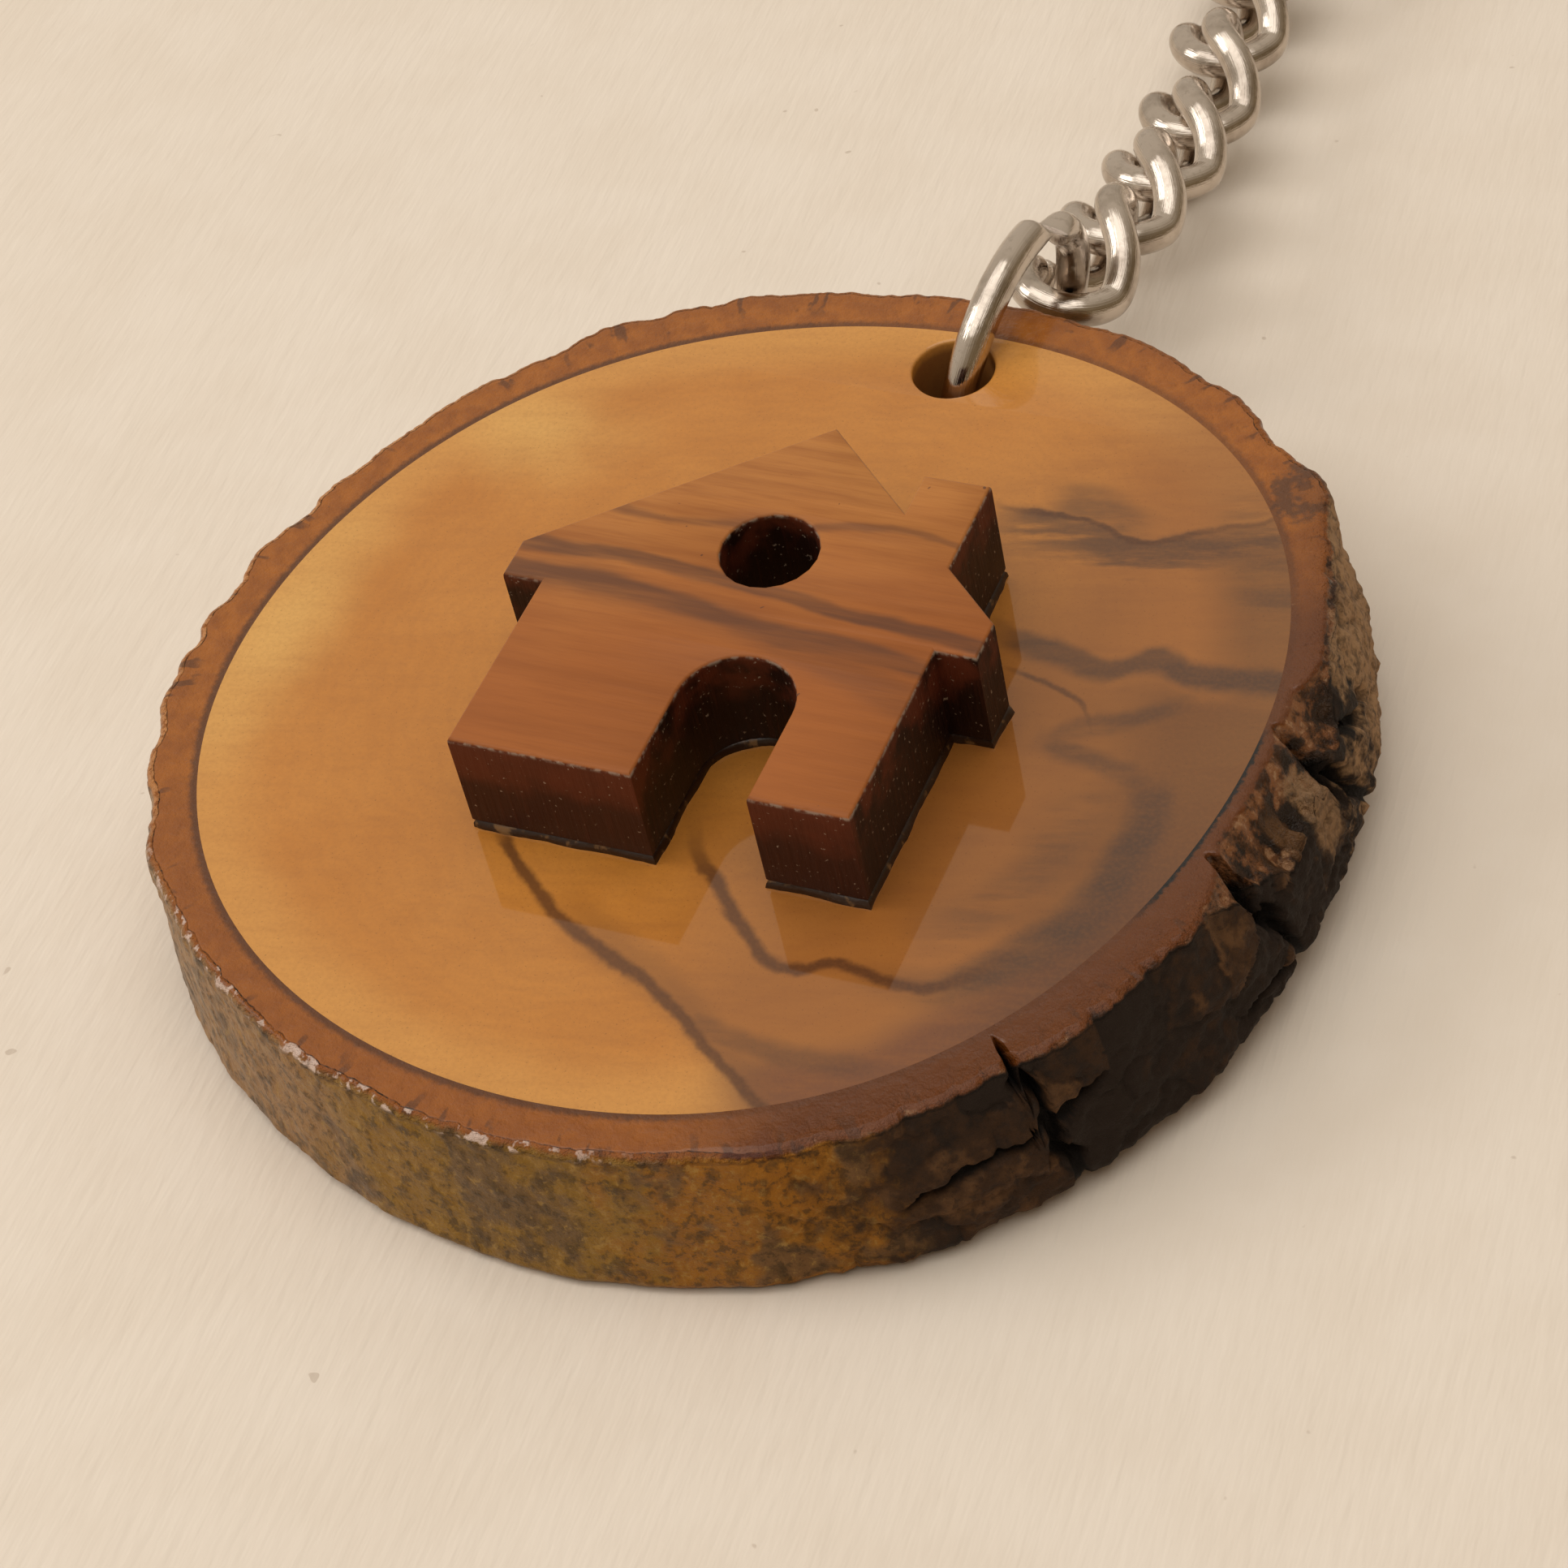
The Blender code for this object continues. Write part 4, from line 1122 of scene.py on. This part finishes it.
def make_ring_mesh():
    cut = RING_CUT / RING_RADIUS
    path = []
    for i in range(RING_STEPS + 1):
        share = i / RING_STEPS
        b = RING_CUT_BEARING + cut / 2 + (2 * pi - cut) * share
        path.append(Vector((RING_SPREAD * (share - 0.5), RING_RADIUS * cos(b), RING_RADIUS * sin(b))))
    mesh = sweep("ring_wire", path, **ROUND, **RING_ENDS)
    for point in mesh.vertices:
        x, y, z = point.co
        b = (atan2(z, y) - RING_CUT_BEARING + pi) % (2 * pi) - pi
        nip = NIP_LEAST + (1 - NIP_LEAST) * smooth_step(0.0, NIP_LENGTH, abs(b) * RING_RADIUS - RING_CUT / 2)
        out = hypot(y, z)
        drawn_in = RING_RADIUS + (out - RING_RADIUS) * nip
        point.co = (x, y * drawn_in / out, z * drawn_in / out)
    mesh.transform(Matrix.Translation(ring_centre) @ ring_turn)
    return mesh


ring_wire = add_piece("ring_wire", make_ring_mesh(), nickel)
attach(ring_wire, "ring")
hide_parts("jump_ring")


# The chain: six oval links of the same wire, each twisted a quarter turn so that its ends stand crosswise,
# with its cut on the left side. It comes down from the jump ring to the table over the first three links.

LINKS = 6
LINK_HALF = 4.0 * MM
LINK_BEND = 2.3 * MM
LINK_WIDTH = 6.2 * MM
LINK_INSIDE = 1.8 * MM
LINK_PITCH = 6.2 * MM
LINK_CUT = 0.35 * MM
LINK_CUT_PLACE = -0.8 * MM
LINK_STEPS = 120
LINK_ENDS = {"step": 0.13 * MM, "end_round": 0.16 * MM, "end_size": 0.86}
TWIST = radians(90)
TWIST_START = 0.2
FIRST_LINK_SLOPE = radians(10)
DRAPED_LINKS = 3
CHAIN_CURVE = radians(2)

table = -(rim_radius(-pi / 2) + BARK_FLARE - BARK_FOOT) * sin(slice_tilt)


def oval_point(length):
    """The point at a length round a link's oval, from the middle of its left side towards its near end."""
    side = LINK_HALF - LINK_BEND
    bend = pi * LINK_BEND
    half = 2 * side + bend
    length = length % (2 * half)
    if length >= half:
        across, along = oval_point(length - half)
        return -across, -along
    if length < side:
        return -LINK_BEND, -length
    if length < side + bend:
        turn = (length - side) / LINK_BEND
        return -LINK_BEND * cos(turn), -side - LINK_BEND * sin(turn)
    return LINK_BEND, length - half


def link_path():
    """A twisted link along Y from its near end, as the run of its wire from one cut end to the other."""
    whole = 4 * (LINK_HALF - LINK_BEND) + 2 * pi * LINK_BEND
    path = []
    for i in range(LINK_STEPS + 1):
        across, along = oval_point(-LINK_CUT_PLACE + LINK_CUT / 2 + (whole - LINK_CUT) * i / LINK_STEPS)
        share = (along + LINK_HALF) / (2 * LINK_HALF)
        turn = TWIST * smooth_step(TWIST_START, 1 - TWIST_START, share)
        path.append(Vector((across * cos(turn), along + LINK_HALF, across * sin(turn))))
    return path


link_turn = ring_turn @ Matrix.Rotation(-FIRST_LINK_SLOPE, 4, "X")
link_near = ring_centre + link_turn @ Vector((0.0, RING_RADIUS - LINK_INSIDE, 0.0))
for number in range(1, LINKS + 1):
    if number > 1:
        links_left = max(DRAPED_LINKS - number + 1, 1)
        slope = asin((table + LINK_WIDTH / 2 - link_near.z) / links_left / LINK_PITCH)
        heading = CHAIN_CURVE * (number - 2)
        link_turn = Matrix.Rotation(heading, 4, "Z") @ Matrix.Rotation(slope, 4, "X")
    link_mesh = sweep(f"link_wire_{number}", link_path(), **ROUND, **LINK_ENDS)
    link_mesh.transform(Matrix.Translation(link_near) @ link_turn)
    link_wire = add_piece(f"link_wire_{number}", link_mesh, nickel)
    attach(link_wire, f"link_{number}")
    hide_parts(f"chain_link_{number}")
    link_near = link_near + link_turn @ Vector((0.0, LINK_PITCH, 0.0))


# The split ring that keys go on: flat nickel-plated wire wound twice round, with a step where it climbs
# from its first turn to its second. It hangs in the last link and its far side rests on the table.

SPLIT_RADIUS = 11.65 * MM
SPLIT_WIDTH = 1.7 * MM
SPLIT_THICKNESS = 0.9 * MM
SPLIT_RISE = 1.35 * MM
SPLIT_CORNER = 0.42 * MM
SPLIT_STEP_BEARING = radians(50)
SPLIT_STEP_SPAN = radians(44)
SPLIT_STEPS = 300
SPLIT_ENDS = {"step": 0.2 * MM, "end_round": 0.3 * MM, "end_size": 0.75}
FLAT = {"width": SPLIT_WIDTH, "thickness": SPLIT_THICKNESS, "corner": SPLIT_CORNER, "corner_steps": 4}


def split_path():
    start = SPLIT_STEP_SPAN / 2
    centre = Vector((0.0, SPLIT_RADIUS, 0.0))
    path = []
    for i in range(SPLIT_STEPS + 1):
        turned = start + (4 * pi - 2 * start) * i / SPLIT_STEPS
        climbed = smooth_step(-0.5, 0.5, (turned - 2 * pi) / SPLIT_STEP_SPAN) - 0.5
        path.append(centre + around(turned + SPLIT_STEP_BEARING, SPLIT_RADIUS, SPLIT_RISE * climbed))
    return path


split_pivot = Vector(hinges["split_ring_tips"]["pos_m"])
split_slope = -asin((split_pivot.z - table - (SPLIT_RISE + SPLIT_THICKNESS) / 2) / (2 * SPLIT_RADIUS))
split_mesh = sweep("split_wire", split_path(), **FLAT, **SPLIT_ENDS)
split_mesh.transform(Matrix.Translation(split_pivot) @ link_turn @ Matrix.Rotation(split_slope, 4, "X"))
split_wire = add_piece("split_wire", split_mesh, nickel)
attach(split_wire, "key_holder")
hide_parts("split_ring")


# The table: cream paper with a faint laid grain, soft daylight from a window on the left, and the camera.

FLOOR_HALF = 1.5
PAPER = (0.828, 0.742, 0.645)
PAPER_DEEP = (0.803, 0.712, 0.61)
PAPER_SPECK = (0.35, 0.25, 0.17)
PAPER_GRAIN_TURN = radians(-5)
PAPER_GRAIN_DEPTH = 0.07 * MM
WINDOW_GLOW = (0.68, 0.605, 0.505)
ROOM_SHADE = (0.22, 0.16, 0.09)
ROOM_LEVEL = 0.9
# Lamps: name, place, width, watts, colour. Both are aimed at one point.
LAMPS = (
    ("window", (-0.50, -0.12, 0.40), 0.25, 0.72, (1.0, 0.98, 0.95)),
    ("sky", (-0.04, -0.12, 0.70), 0.9, 2.5, (1.0, 0.985, 0.965)),
)
LAMP_AIM = Vector((0.0, 0.01, 0.0))
CAMERA_TARGET = Vector((4.8, -5.16, 7.0)) * MM
CAMERA_DISTANCE = 165 * MM
CAMERA_LENS = 93.17
CAMERA_FRAME = 36.0
CAMERA_NEAR = 5 * MM
CAMERA_HEADING = radians(32.6)
CAMERA_PITCH = radians(46.5)
CAMERA_ROLL = radians(13.8)


def make_paper_finish():
    material, shader, start = new_finish("cream paper", {"Roughness": 0.85, "IOR": 1.3})
    place = in_millimetres(start, (0, 0, PAPER_GRAIN_TURN))
    strokes = grain(stretched(place, (1.9, 0.3, 1.0)), 1.0, 2.0)
    specks = ease(grain(place, 0.9, 1.0), 0.8, 0.83)
    uneven = ease(grain(place, 0.18, 4.0), 0.3, 0.7)
    colour = coats(PAPER, (uneven, PAPER_DEEP), (specks * 0.35, PAPER_SPECK))
    feed(shader, Base_Color=colour, Normal=relief(strokes, PAPER_GRAIN_DEPTH))
    return material


floor_mesh = bpy.data.meshes.new("floor")
floor_corners = ((-1, -1), (1, -1), (1, 1), (-1, 1))
floor_points = [(x * FLOOR_HALF, y * FLOOR_HALF, cad_box[0].z) for x, y in floor_corners]
floor_mesh.from_pydata(floor_points, [], [(0, 1, 2, 3)])
floor = add_piece("floor", floor_mesh, make_paper_finish())


for name, place, width, watts, colour in LAMPS:
    lamp = bpy.data.lights.new(name, "AREA")
    lamp.shape = "DISK"
    lamp.size = width
    lamp.energy = watts
    lamp.color = colour
    lamp_holder = add_object(name, lamp)
    lamp_holder.location = place
    lamp_holder.rotation_euler = (LAMP_AIM - Vector(place)).to_track_quat("-Z", "Y").to_euler()

world = bpy.data.worlds.new("room")
bpy.context.scene.world = world
world.use_nodes = True
sky = Tone(world.node_tree)
facing_x, facing_y, facing_z = axes(sky.node("ShaderNodeTexCoord", out="Generated"))
to_window = facing_z * 0.7 - facing_x * 0.6 + facing_y * 0.25
room = coats(ROOM_SHADE, (ease(to_window, -0.35, 0.75), WINDOW_GLOW))
camera_ray, glossy_ray, transmission_ray = (
    sky.node("ShaderNodeLightPath", out=f"Is {kind} Ray") for kind in ("Camera", "Glossy", "Transmission")
)
seen = camera_ray | glossy_ray | transmission_ray
background = world.node_tree.nodes["Background"]
feed(background, Color=room, Strength=ROOM_LEVEL + seen * (1 - ROOM_LEVEL))

camera = bpy.data.cameras.new("camera")
camera.lens = CAMERA_LENS
camera.sensor_width = CAMERA_FRAME
camera.clip_start = CAMERA_NEAR
camera_holder = add_object("camera", camera)
aim = Matrix.Rotation(CAMERA_HEADING, 4, "Z") @ Matrix.Rotation(pi / 2 - CAMERA_PITCH, 4, "X")
stand = CAMERA_TARGET + aim @ Vector((0.0, 0.0, CAMERA_DISTANCE))
camera_holder.matrix_world = lean @ Matrix.Translation(stand) @ aim @ Matrix.Rotation(-CAMERA_ROLL, 4, "Z")
bpy.context.scene.camera = camera_holder
bpy.context.scene.view_settings.view_transform = "Standard"
